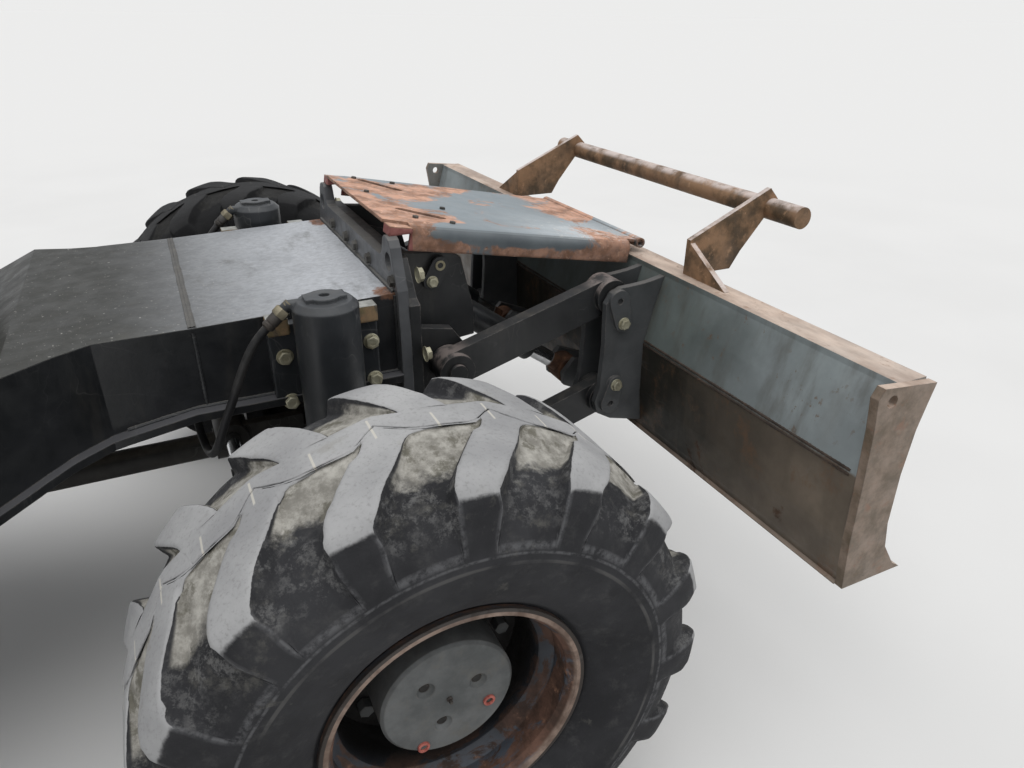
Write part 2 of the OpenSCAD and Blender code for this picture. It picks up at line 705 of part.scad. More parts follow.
// The oval plate that holds a pin's end, with the pin's socket
module retainer(pin, to) {
    side = [-to[1], to[0]] / norm(to);
    y = rib_y[1] + rib_t;
    difference() {
        union() {
            pin_at(pin, 32, y, y + 12);
            pin_at(pin + to, 26, y, y + 12);
            plate_y([pin + 32 * side, pin - 32 * side, pin + to - 26 * side, pin + to + 26 * side], y, 12);
        }
        pin_at(pin, 9, y + 2, y + 13);
    }
}

rest_z = 1231;
cheek_y = 522;
cheek_t = 16;
gusset_x = 968;
gusset_y = 697;

module bucket_rest() color("saddlebrown") on_front() {
    pin_at([front_reach - rest_r, rest_z], rest_r, -rest_half, rest_half);
    both_sides() {
        plate_y([[gusset_x, blade_top], [1120, blade_top], [1150, blade_top + 48],
            [front_reach - 12, rest_z + 27], [front_reach - 44, rest_z + 59], [gusset_x, rest_z - 60]],
            cheek_y, cheek_t);
        plate_x([[cheek_y + 1, blade_top], [gusset_y, blade_top], [cheek_y + 1, rest_z - 60]], gusset_x,
            cheek_t);
    }
}

cover_pin = [975, 1101];
cover_rear = [178, 1246];
cover_half_front = 322;
cover_half_rear = 345;
cover_t = 8;
cover_skirt = 66;
bend_r = 28;
tube_half = 303;
pad_h = 60;

skirt_front = 50;
skirt_rear = 62;
corner_in = 48;
cover_run = cover_rear - cover_pin;
cover_len = norm(cover_run);
cover_angle = atan2(cover_run[1], -cover_run[0]);

// Half width of the cover at a distance behind its pin
function cover_half(x) = cover_half_front + (cover_half_rear - cover_half_front) * x / cover_len;

// Ends of the slots, in front of the pin and to the left
cover_slots = [[[-704, 268], [-622, 155]], [[-712, -150], [-623, -223]]];

module slot(a, b, r) {
    side = [a[1] - b[1], b[0] - a[0]] * r / norm(b - a);
    translate([0, 0, -1]) {
        for (p = [a, b]) translate(p) cylinder(r = r, h = cover_t + 2);
        linear_extrude(cover_t + 2) polygon([a + side, a - side, b - side, b + side]);
    }
}

module on_cover() {
    translate([cover_pin[0], 0, cover_pin[1]]) rotate([0, cover_angle, 0]) children();
}

// Section of a bent side, its outer corner at 0, from the flat of the top to the skirt's foot
function bend_arc(r, steps) = [for (a = [90:-90 / steps:0])
    [r * cos(a) - bend_r, r * sin(a) + cover_t - bend_r]];
side_outline = concat([[-bend_r - 20, cover_t]], bend_arc(bend_r, 6),
    [[0, cover_t - cover_skirt], [-cover_t, cover_t - cover_skirt]],
    [for (i = [6:-1:0]) bend_arc(bend_r - cover_t, 6)[i]], [[-bend_r - 20, 0]]);

module cover_side() {
    run = cover_len - skirt_rear - skirt_front;
    grow = cover_half(cover_len - skirt_rear) - cover_half(skirt_front);
    translate([-skirt_front, -cover_half(skirt_front), 0]) rotate([0, 0, atan2(grow, run)])
        rotate([90, 0, -90]) linear_extrude(run) polygon(side_outline);
}

module cover_plate() color("slategray") on_front() {
    flat_front = cover_half(skirt_front) - bend_r;
    flat_rear = cover_half(cover_len - skirt_rear) - bend_r;
    on_cover() {
        difference() {
            linear_extrude(cover_t) both_sides() polygon([[10, 0], [10, flat_front],
                [-skirt_front, flat_front], [skirt_rear - cover_len, flat_rear],
                [-cover_len, cover_half_rear - corner_in], [-cover_len, 0]]);
            for (c = cover_slots) slot(c[0], c[1], 15);
        }
        both_sides() cover_side();
        difference() {
            cyl_y(15, -tube_half, tube_half);
            cyl_y(10, -tube_half - 1, tube_half + 1);
        }
    }
    both_sides() difference() {
        on_cover() block(-cover_len + 5, -cover_len + 65, 298, 350, -pad_h, 1);
        block(0, 400, 250, 400, 1000, ear_top + gap);
    }
}

lift_angle = atan2(lift_rear[1] - lower_front[1], lower_front[0] - lift_rear[0]);
lift_len = norm(lower_front - lift_rear);
tube_end = lift_len - 170;

module on_lift() {
    on_front() both_sides() translate([lift_rear[0], lift_y, lift_rear[1]])
        rotate([0, lift_angle, 0]) children();
}

module lift_barrels() color("dimgray") on_lift() difference() {
    union() {
        cyl_x(lift_r - 2, 30, tube_end - 50);
        cyl_x(lift_r, tube_end - 50, tube_end);
        cyl_y(46, -lift_r + 6, lift_r - 6);
    }
    cyl_y(pin_r - 3 + gap, -lift_r, lift_r);
    cyl_x(lift_rod_r + gap, 60, tube_end + 1);
}

module lift_rods() color("silver") on_lift() {
    cyl_x(lift_rod_r, 65, lift_len - 20);
    translate([lift_len, 0, 0]) cyl_y(45, -35, 35);
}

frame_main();
front_flange();
rear_flange();
blade_bracket();
slew_ring_inner();
rotary_joint();
rear_axle();
travel_gearbox();
prop_shaft();
step_left();
step_right();
osc_cylinders();
osc_hoses();
slew_ring_outer();
front_axle();
steering_cylinder();
osc_rod_left();
osc_rod_right();
steer_rod();
tie_rod_left();
tie_rod_right();
knuckle_left();
knuckle_right();
tyre_front_left();
rim_front_left();
hub_front_left();
tyre_front_right();
rim_front_right();
hub_front_right();
tyre_rear_left();
rim_rear_left();
hub_rear_left();
tyre_rear_right();
rim_rear_right();
hub_rear_right();
lower_links();
upper_links();
blade_board();
cutting_edge();
blade_ribs();
bucket_rest();
cover_plate();
lift_barrels();
lift_rods();
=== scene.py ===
"""Looks of the wheeled excavator's undercarriage: finishes, tyres, hoses, bolts, welds, camera and light."""

import functools
import math

import bpy
import numpy as np
from mathutils import Matrix, Vector, noise


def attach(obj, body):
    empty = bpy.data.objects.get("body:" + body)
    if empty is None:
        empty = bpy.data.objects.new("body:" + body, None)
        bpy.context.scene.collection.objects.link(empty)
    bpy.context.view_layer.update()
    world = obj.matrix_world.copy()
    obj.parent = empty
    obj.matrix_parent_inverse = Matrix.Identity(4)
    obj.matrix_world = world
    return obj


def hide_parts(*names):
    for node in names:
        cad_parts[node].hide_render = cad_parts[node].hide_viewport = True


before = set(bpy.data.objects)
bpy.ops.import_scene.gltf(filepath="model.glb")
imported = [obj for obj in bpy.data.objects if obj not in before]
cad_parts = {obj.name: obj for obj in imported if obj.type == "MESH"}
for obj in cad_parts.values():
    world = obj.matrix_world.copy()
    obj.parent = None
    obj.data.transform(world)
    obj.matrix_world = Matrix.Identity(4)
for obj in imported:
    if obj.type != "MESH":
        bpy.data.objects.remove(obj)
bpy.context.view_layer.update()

# Places from part.scad, in metres
AXLE_X = 0.938
REAR_X = -1.662
WHEEL_Y = 1.035
WHEEL_Z = 0.55
MM = 0.001
BLOCK_X = AXLE_X - 0.02
# The cover's slots and the eyes of the upper arms and of the lift rods, as (x, z)
COVER_SLOTS = (1.29, 1.235)
ARM_EYES = [(AXLE_X + 0.31, 0.868), (AXLE_X + 0.783, 1.008)]
LIFT_EYE = (AXLE_X + 0.777, 0.689)


# Camera, floor and light

CAMERA_AT = (0.6092, -2.0774, 1.7215)
CAMERA_YAW = -26.2501
CAMERA_PITCH = -27.0204
CAMERA_ROLL = 0.7421
CAMERA_LENS = 25.684
FLOOR_HALF = 400
BACKDROP = (0.84, 0.84, 0.835)
SKY = (0.95, 0.97, 1)
AROUND = 0.58
ABOVE = 0.44
SIDEWAYS = 0.16
OVERHEAD = Vector((0.1, 0.12, -1)).normalized()
FROM_RIGHT = Vector((-0.8, 0.35, -0.55)).normalized()


def add_object(name, data):
    thing = bpy.data.objects.new(name, data)
    bpy.context.scene.collection.objects.link(thing)
    return thing


def make_camera():
    yaw, roll = (Matrix.Rotation(math.radians(a), 4, "Z") for a in (CAMERA_YAW, CAMERA_ROLL))
    tilt = Matrix.Rotation(math.radians(90 + CAMERA_PITCH), 4, "X")
    data = bpy.data.cameras.new("camera")
    data.sensor_width = 36
    data.lens = CAMERA_LENS
    camera = add_object("camera", data)
    camera.matrix_world = Matrix.Translation(CAMERA_AT) @ yaw @ tilt @ roll
    bpy.context.scene.camera = camera


def make_soft_sun(name, towards, level, spread):
    """A wide, soft light, the same all over the floor. Level is what a surface square to it gets."""
    data = bpy.data.lights.new(name, "SUN")
    data.energy = level * math.pi
    data.angle = math.radians(spread)
    light = add_object(name, data)
    light.rotation_mode = "QUATERNION"
    light.rotation_quaternion = towards.to_track_quat("-Z", "Y")


# Materials

class Nodes:
    """A tree of shader nodes."""

    def __init__(self, owner):
        owner.use_nodes = True
        self.tree = owner.node_tree

    def add(self, kind, inputs, output=0, **settings):
        node = self.tree.nodes.new("ShaderNode" + kind)
        for key, value in settings.items():
            setattr(node, key, value)
        for key, value in inputs.items():
            self.feed(node.inputs[key], value)
        return node.outputs[output]

    def feed(self, socket, value):
        if isinstance(value, bpy.types.NodeSocket):
            self.tree.links.new(value, socket)
        elif socket.type == "RGBA":
            socket.default_value = (*value, 1)
        else:
            socket.default_value = value


class Paint(Nodes):
    """The nodes of one material. Each method adds nodes and returns an output."""

    def __init__(self, name):
        self.material = bpy.data.materials.new(name)
        super().__init__(self.material)
        self.surface = self.tree.nodes["Principled BSDF"]
        self.coords = self.tree.nodes.new("ShaderNodeTexCoord")

    def calc(self, operation, a, b=0, clamp=False):
        return self.add("Math", {0: a, 1: b}, operation=operation, use_clamp=clamp)

    def band(self, value, low, high, to_low=0, to_high=1):
        """Rises smoothly from to_low to to_high as the value goes from low to high, which may be swapped."""
        if low > high:
            low, high, to_low, to_high = high, low, to_high, to_low
        inputs = {"Value": value, 1: low, 2: high, 3: to_low, 4: to_high}
        return self.add("MapRange", inputs, interpolation_type="SMOOTHSTEP")

    def mix(self, share, a, b, blend="MIX"):
        inputs = {0: share, 6: a, 7: b}
        return self.add("Mix", inputs, 2, data_type="RGBA", blend_type=blend)

    def grain(self, scale, detail=4, rough=0.55, stretch=(1, 1, 1), shift=(0, 0, 0), bend=0):
        place = self.add("Mapping", {0: self.coords.outputs["Object"], "Scale": stretch, "Location": shift})
        return self.add("TexNoise", {"Vector": place, "Scale": scale, "Detail": detail, "Roughness": rough,
                                     "Distortion": bend})

    def cloud(self, low, high, *noise, to=(0, 1), **settings):
        """Patches of noise. They go from to[0] where it is below low to to[1] where it is above high."""
        return self.band(self.grain(*noise, **settings), low, high, *to)

    def sway(self, amount, *noise, **settings):
        """Noise on both sides of 0, amount wide."""
        return self.times(self.minus(self.grain(*noise, **settings), 0.5), amount)

    def axis(self, name):
        return self.add("SeparateXYZ", {0: self.coords.outputs["Object"]}, name)

    def ramp(self, name, *ends):
        return self.band(self.axis(name), *ends)

    def up(self, low, high):
        """1 on faces that look up. Low and high are heights of the face's normal."""
        return self.band(self.add("SeparateXYZ", {0: self.coords.outputs["Normal"]}, "Z"), low, high)

    def over(self, color, tint, *shares):
        """The colour with a tint laid over it, as much as all the shares multiplied."""
        return self.mix(self.times(*shares), color, tint)

    def scratches(self, scale, stretch, width, shift=(0, 0, 0)):
        """Thin lines where a stretched noise crosses its middle."""
        lines = self.grain(scale, 2, 0.4, stretch, shift)
        return self.band(self.apart(lines, 0.5), width, width * 0.3)

    def rounded(self, radius):
        return self.add("Bevel", {"Radius": radius}, samples=4)

    def edges(self, rounded):
        true = self.add("NewGeometry", {}, "Normal")
        same = self.add("VectorMath", {0: rounded, 1: true}, "Value", operation="DOT_PRODUCT")
        return self.band(same, 0.985, 0.82)

    def relief(self, height, depth, strength, normal=None):
        inputs = {"Height": height, "Distance": depth, "Strength": strength}
        if normal is not None:
            inputs["Normal"] = normal
        return self.add("Bump", inputs)

    def attribute(self, name):
        """The three numbers the mesh keeps at each point."""
        color = self.add("Attribute", {}, "Color", attribute_name=name)
        return [self.add("SeparateColor", {0: color}, part) for part in ("Red", "Green", "Blue")]

    def times(self, *values):
        return functools.reduce(lambda a, b: self.calc("MULTIPLY", a, b), values)

    def plus(self, *values):
        return functools.reduce(lambda a, b: self.calc("ADD", a, b), values)

    def minus(self, a, b):
        return self.calc("SUBTRACT", a, b)

    def apart(self, a, b):
        return self.calc("ABSOLUTE", self.minus(a, b))

    def side(self):
        """Distance from the machine's middle plane."""
        return self.calc("ABSOLUTE", self.axis("Y"))

    def reach(self, a, b):
        """The length of a line that goes a one way and b square to it."""
        return self.calc("SQRT", self.plus(self.calc("POWER", a, 2), self.calc("POWER", b, 2)))

    def near(self, spots, inner, outer):
        """1 close to any of the points (x, z), seen from the side, and 0 further off."""
        x, z = self.axis("X"), self.axis("Z")
        out = 0
        for px, pz in spots:
            off = self.reach(self.minus(x, px), self.minus(z, pz))
            out = self.calc("MAXIMUM", out, self.band(off, outer, inner))
        return out

    def set(self, **values):
        names = {"color": "Base Color", "metal": "Metallic", "rough": "Roughness", "normal": "Normal",
                 "spec": "Specular IOR Level"}
        for key, value in values.items():
            self.feed(self.surface.inputs[names[key]], value)
        return self.material


RUST_DARK = (0.03, 0.015, 0.01)
RUST = (0.115, 0.052, 0.03)
RUST_BRIGHT = (0.29, 0.115, 0.05)
DUST = (0.185, 0.165, 0.135)
BARE = (0.23, 0.225, 0.215)


def rust_color(p, scale=14, low=RUST_DARK, mid=RUST, high=RUST_BRIGHT):
    broad = p.mix(p.cloud(0.36, 0.62, scale, 6, 0.65), low, mid)
    return p.mix(p.cloud(0.56, 0.74, scale * 2.7, 6, 0.7, shift=(3, 1, 7)), broad, high)


def painted(name, base, deep, *, rough=0.42, top=None, top_share=0.85, rust=0, edge=(0.13, 0.13, 0.13),
            wear=0.5, radius=0.004, dust=0.25, stain=None, scuff=0.3, rust_tint=(), patch=None):
    """Old paint: mottled, scratched, dusty on top, worn at its edges, rusty where stain or chance has it.

    base, deep and top are colours or functions that make one. top is laid on up-facing faces, partly as dust
    and scuffing and partly as a painted sheen of the light from above. patch gets the colour at the end."""
    p = Paint(name)
    base, deep, top = (c(p) if callable(c) else c for c in (base, deep, top))
    rounded = p.rounded(radius)
    edges = p.edges(rounded)
    up = p.up(0.55, 0.95)
    color = p.mix(p.cloud(0.35, 0.68, 3.5, 5, 0.6), deep, base)
    smears = p.cloud(0.52, 0.78, 9, 5, 0.6, (1.2, 1.2, 0.25), (2, 5, 1))
    color = p.over(color, DUST, smears, 0.16)
    # Up-facing faces take the top colour: partly dust and scuffing, partly a painted sheen of the light from
    # above
    if top is not None:
        mottle = p.cloud(0.25, 0.7, 5, 6, 0.62, shift=(7, 2, 0), to=(0.72, 1))
        color = p.over(color, top, up, mottle, top_share)
    powder = p.cloud(0.42, 0.72, 26, 6, 0.7, shift=(1, 8, 4))
    color = p.over(color, DUST, up, powder, dust)
    lines = p.scratches(2.2, (8, 1.5, 3), 0.005, (4, 4, 4))
    lines = p.calc("MAXIMUM", p.scratches(3, (1, 9, 3), 0.006), lines)
    color = p.over(color, BARE, lines, p.cloud(0.45, 0.65, 6, 3, shift=(9, 9, 1)), scuff)
    chips = p.cloud(0.42, 0.62, 38, 5, 0.7, shift=(5, 5, 5))
    color = p.over(color, edge, edges, chips, wear)
    blotch = p.grain(4.2, 8, 0.68, shift=(11, 3, 6), bend=0.6)
    level = blotch if stain is None else p.plus(blotch, stain(p))
    rusty = p.band(level, 0.69 - rust, 0.76 - rust)
    if stain is not None or rust > 0:
        flakes = p.cloud(0.3, 0.6, 60, 4, 0.7, to=(0.75, 1))
        rusty = p.times(rusty, flakes)
        color = p.mix(rusty, color, rust_color(p, *rust_tint))
        gloss = p.band(rusty, 0, 1, rough, 0.86)
    else:
        gloss = rough
    gloss = p.plus(gloss, p.cloud(0.3, 0.7, 18, 5, 0.6, shift=(0, 0, 9), to=(-0.08, 0.1)))
    gloss = p.calc("ADD", gloss, p.times(up, 0.1), True)
    if patch is not None:
        color = patch(p, color)
    pits = p.plus(p.times(p.grain(55, 6, 0.65), 0.6), p.times(rusty, -0.35))
    normal = p.relief(pits, 0.0012, 0.55, p.relief(p.grain(7, 3, 0.5), 0.004, 0.35, rounded))
    return p.set(color=color, rough=gloss, normal=normal, spec=0.45)


def rusty_metal(name, scale, low, mid, high, *, shine=0, radius=0.003, top=None):
    """Bare rusty steel. With a top colour its upper sides are paler."""
    p = Paint(name)
    rounded = p.rounded(radius)
    edges = p.edges(rounded)
    color = rust_color(p, scale, low, mid, high)
    grime = p.cloud(0.42, 0.7, 3, 6, 0.6, shift=(4, 0, 2))
    color = p.over(color, (0.05, 0.042, 0.036), grime, 0.5)
    color = p.over(color, (0.2, 0.14, 0.1), edges, 0.45)
    if top is not None:
        bare = p.cloud(0.3, 0.6, 14, 6, 0.7, shift=(5, 1, 2), to=(0, 0.9))
        color = p.over(color, top, p.up(0.45, 0.9), bare)
    gloss = p.cloud(0.3, 0.7, 20, 6, 0.6, to=(0.55 - shine, 0.85 - shine))
    normal = p.relief(p.grain(70, 7, 0.7), 0.0014, 0.7, p.relief(p.grain(11, 5), 0.003, 0.4, rounded))
    return p.set(color=color, rough=gloss, normal=normal, metal=0.15 + shine, spec=0.4)


def bare_steel(name, base, deep, metal=0.85, rough=0.35, radius=0.002):
    p = Paint(name)
    rounded = p.rounded(radius)
    color = p.mix(p.cloud(0.35, 0.65, 12, 6, 0.65), deep, base)
    film = p.cloud(0.52, 0.75, 4, 5, 0.6, shift=(2, 2, 8))
    color = p.over(color, (0.07, 0.05, 0.035), film, 0.5)
    gloss = p.cloud(0.3, 0.7, 25, 5, 0.6, to=(rough - 0.08, rough + 0.2))
    normal = p.relief(p.grain(90, 4, 0.6), 0.0006, 0.5, rounded)
    return p.set(color=color, rough=gloss, normal=normal, metal=metal)


def chrome_rod(name):
    """Smooth rods. The front eyes of the lift rods are rusty."""
    p = Paint(name)
    film = p.cloud(0.5, 0.75, 9, 5, 0.6)
    color = p.over((0.6, 0.61, 0.62), (0.1, 0.085, 0.07), film, 0.6)
    eye = p.near([LIFT_EYE], 0.075, 0.085)
    rust = rust_color(p, 14, (0.07, 0.035, 0.022), (0.2, 0.095, 0.05), (0.34, 0.17, 0.09))
    color = p.mix(eye, color, rust)
    gloss = p.calc("MAXIMUM", p.band(film, 0, 1, 0.12, 0.45), p.times(eye, 0.8))
    metal = p.minus(0.95, p.times(eye, 0.8))
    return p.set(color=color, rough=gloss, normal=p.rounded(0.002), metal=metal)


def rubber_hose(name):
    p = Paint(name)
    color = p.mix(p.cloud(0.4, 0.7, 14, 5, 0.6), (0.01, 0.01, 0.011), (0.034, 0.033, 0.032))
    color = p.over(color, DUST, p.up(0.1, 0.9), p.cloud(0.4, 0.7, 30, 5, 0.7), 0.2)
    normal = p.relief(p.grain(240, 2, 0.5, (1, 1, 0.2)), 0.0005, 0.6)
    return p.set(color=color, rough=0.55, normal=normal, spec=0.4)


def frame_top_dirt_and_sheen(p):
    """Dark, oily and olive at the back, pale and bluish at the front flange: partly oil and worn paint,
    partly a painted reflection of the bright ceiling that grows towards the front. The bottom lip is grey.
    """
    # Painted reflection: the top pales from dark olive at the back to bluish white at the front flange,
    # mixed with real oil and wear
    along = p.mix(p.ramp("X", 0.42, 1.06), (0.034, 0.034, 0.029), (0.51, 0.525, 0.55))
    fine = p.cloud(0.35, 0.65, 55, 7, 0.78, (1, 1.6, 1), (2, 0, 2))
    fine = p.mix(fine, (0.84, 0.84, 0.84), (1.14, 1.14, 1.14))
    along = p.mix(1, along, fine, "MULTIPLY")
    oily = p.cloud(0.55, 0.7, 6, 7, 0.7, (1, 0.5, 1), (9, 1, 2), to=(0, 0.5))
    along = p.mix(oily, along, (0.075, 0.072, 0.058))
    specks = p.cloud(0.66, 0.72, 120, 3, 0.6, shift=(3, 8, 8), to=(0, 0.7))
    along = p.mix(specks, along, (0.52, 0.5, 0.46))
    return p.mix(p.ramp("Z", 0.97, 0.93), along, (0.1, 0.1, 0.106))


def frame_stain(p):
    """Rust at the foot of the front flange."""
    foot = p.times(p.ramp("X", 1.03, 1.09), p.ramp("Z", 1.06, 1.085))
    return p.times(foot, p.band(p.side(), 0.26, 0.37), 0.26)


def blade_color(p, light, dark):
    """Blue-grey above the seam, oily brown below it, lighter outwards. The ends are pinkish brown.

    Light and dark are shares of the colours above and below the seam."""
    out = p.band(p.plus(p.side(), p.sway(0.7, 4, 5, 0.6, shift=(8, 8, 8))), 0.5, 1.22)
    blues = (0.13, 0.152, 0.144), (0.315, 0.35, 0.355)
    browns = (0.023, 0.021, 0.016), (0.21, 0.168, 0.126)
    upper = p.mix(out, *(tuple(light * c for c in blue) for blue in blues))
    lower = p.mix(out, *(tuple(dark * c for c in brown) for brown in browns))
    flecks = p.cloud(0.6, 0.66, 48, 5, 0.7, (1, 1, 0.7), (5, 2, 7))
    flecks = p.times(flecks, p.cloud(0.42, 0.6, 7, 4, 0.6, shift=(1, 4, 1)))
    upper = p.over(upper, (0.17, 0.105, 0.065), flecks, 0.75)
    orange = p.cloud(0.5, 0.68, 10, 8, 0.75, (1, 1, 0.8), (2, 6, 3))
    lower = p.over(lower, (0.165, 0.09, 0.048), orange, 0.8)
    wavy = p.plus(p.axis("Z"), p.sway(0.012, 14, 4))
    color = p.mix(p.band(wavy, 0.858, 0.866), lower, upper)
    streaks = p.cloud(0.45, 0.75, 16, 5, 0.6, (1, 1, 0.16), (3, 3, 3))
    color = p.over(color, (0.085, 0.07, 0.05), streaks, 0.5)
    end = p.mix(p.cloud(0.36, 0.66, 11, 7, 0.7), (0.145, 0.108, 0.072), (0.31, 0.232, 0.178))
    rusty = p.cloud(0.55, 0.7, 30, 7, 0.75, shift=(4, 1, 4), to=(0, 0.8))
    end = p.mix(rusty, end, (0.26, 0.14, 0.085))
    return p.mix(p.band(p.side(), 1.2545, 1.2555), color, end)


def blade_stain(p):
    """More rust low on the blade's back and next to its ends."""
    lower = p.ramp("Z", 0.78, 0.58, 0, 0.13)
    return p.plus(lower, p.band(p.side(), 1.05, 1.24, 0, 0.05))


def strip_color(p):
    """The blade's top strip is scraped bare, with rust in patches."""
    worn = p.mix(p.cloud(0.3, 0.7, 18, 6, 0.65, (1, 0.3, 1)), (0.4, 0.29, 0.225), (0.74, 0.585, 0.475))
    rusty = p.cloud(0.56, 0.68, 35, 7, 0.75, (1, 0.6, 1), (7, 7, 0), to=(0, 0.75))
    return p.mix(rusty, worn, (0.3, 0.155, 0.085))


def cover_depth(p):
    """How far below the cover's top face a point is."""
    slope = COVER_UP.x / COVER_UP.z
    top = cover_top(0) * MM + slope * AXLE_X
    return p.minus(top, p.plus(p.axis("Z"), p.times(p.axis("X"), slope)))


def cover_top_color(p):
    """Blue-grey, polished pale towards the front right corner."""
    pale = p.times(p.ramp("X", 1.35, 1.75), p.ramp("Y", 0.05, -0.28))
    streaky = p.cloud(0.3, 0.7, 9, 6, 0.65, (0.5, 2, 1), to=(0.5, 1))
    return p.over((0.175, 0.195, 0.2), (0.42, 0.435, 0.43), pale, streaky)


def cover_stain(p):
    """Rust at the cover's rear edge and slots, on its left half, in front and low on its skirts."""
    x, y = p.axis("X"), p.axis("Y")
    rear = p.band(x, 1.3, 1.16, 0, 0.22)
    left = p.times(p.band(y, -0.15, 0.1), p.band(x, 1.3, 1.45), 0.12)
    front = p.band(x, 1.66, 1.84, 0, 0.13)
    low = p.band(cover_depth(p), 0.022, 0.052, 0, 0.16)
    slots = p.times(p.near([COVER_SLOTS], 0.06, 0.1), p.band(p.side(), 0.3, 0.26), 0.13)
    return p.plus(rear, left, front, low, slots)


def cover_highlight_and_marks(p, color):
    """A painted highlight that lightens the whole top, red pads under the rear corners and white scuffs near
    the front right corner.
    """
    # Painted highlight: faces that look up are made about 1.6 times lighter
    up = p.up(0.7, 0.95)
    color = p.mix(up, color, p.mix(1, color, (1.62, 1.66, 1.72), "MULTIPLY"))
    pad = p.times(p.ramp("X", 1.18, 1.178), p.band(cover_depth(p), 0.0085, 0.01))
    pink = p.mix(p.cloud(0.35, 0.7, 20, 5), (0.22, 0.07, 0.06), (0.4, 0.17, 0.15))
    color = p.over(color, pink, pad, p.band(p.side(), 0.296, 0.298))
    where = p.times(p.ramp("X", 1.52, 1.7), p.ramp("Y", -0.06, -0.2), p.up(0.7, 0.9))
    flecks = p.cloud(0.575, 0.61, 42, 6, 0.75, (1, 1.8, 1))
    return p.over(color, (0.7, 0.69, 0.66), where, flecks, 0.9)


def blocks(p):
    """1 on the blocks beside the oscillation cylinders."""
    x = p.apart(p.axis("X"), BLOCK_X)
    high = p.ramp("Z", 1.041, 1.045)
    return p.times(high, p.band(p.side(), 0.446, 0.443), p.band(x, 0.075, 0.08))


def block_stain(p):
    """The blocks are bare and rusty at their sides."""
    return p.times(blocks(p), p.up(0.7, 0.5), 0.4)


def block_patch(p, color):
    """The blocks' tops are pale bare metal."""
    pale = p.mix(p.cloud(0.35, 0.65, 40, 5), (0.26, 0.26, 0.24), (0.42, 0.42, 0.39))
    return p.over(color, pale, blocks(p), p.up(0.7, 0.9))


def arm_patch(p, color):
    """The eyes and the upper edges of the blade's arms are worn to brown steel."""
    eyes = p.near(ARM_EYES, 0.05, 0.085)
    return p.over(color, (0.215, 0.18, 0.165), eyes, p.up(0.15, 0.6), p.cloud(0.38, 0.55, 16, 6, 0.7), 0.9)


def wheel_rim(name, axle_x):
    """A worn brown flange, and inside it dark blue-grey paint with rust patches. Deeper in the barrel a
    painted shade turns it near black.
    """
    p = Paint(name)
    rounded = p.rounded(0.003)
    radius = p.reach(p.minus(p.axis("X"), axle_x), p.minus(p.axis("Z"), WHEEL_Z))
    y = p.side()
    paint = p.mix(p.cloud(0.35, 0.65, 7, 5), (0.035, 0.042, 0.054), (0.085, 0.098, 0.12))
    rust = rust_color(p, 12, (0.055, 0.03, 0.02), (0.17, 0.088, 0.06), (0.36, 0.19, 0.12))
    patches = p.grain(8, 8, 0.7, (1, 2.2, 1), bend=0.8)
    outward = p.band(y, 1.05, 1.2, 0, 0.1)
    rusty = p.band(p.plus(patches, outward), 0.52, 0.6)
    color = p.mix(rusty, paint, rust)
    lip = p.times(p.band(radius, 0.24, 0.244), p.band(y, 1.2, 1.22))
    brown = p.mix(p.cloud(0.35, 0.7, 26, 6, 0.6), (0.165, 0.112, 0.085), (0.36, 0.265, 0.21))
    brown = p.mix(p.band(radius, 0.2535, 0.255), brown, (0.04, 0.032, 0.027))
    color = p.mix(lip, color, brown)
    # Painted shade: deeper inside the barrel the colour goes near black
    color = p.mix(p.band(y, 1.19, 1.07), color, (0.012, 0.011, 0.01))
    normal = p.relief(p.grain(60, 7, 0.7), 0.0014, 0.7, rounded)
    return p.set(color=color, rough=p.band(rusty, 0, 1, 0.5, 0.8), normal=normal, metal=0.1)


def hub_paint(name):
    p = Paint(name)
    rounded = p.rounded(0.004)
    color = p.mix(p.cloud(0.35, 0.7, 9, 6, 0.65), (0.092, 0.097, 0.096), (0.165, 0.17, 0.168))
    dusty = p.cloud(0.48, 0.75, 22, 7, 0.7, shift=(3, 3, 0))
    color = p.over(color, (0.155, 0.14, 0.115), dusty, 0.5)
    color = p.over(color, (0.21, 0.19, 0.17), p.edges(rounded), p.cloud(0.4, 0.6, 30, 5), 0.6)
    normal = p.relief(p.grain(80, 6, 0.7), 0.0009, 0.6, rounded)
    return p.set(color=color, rough=0.62, normal=normal, spec=0.35)


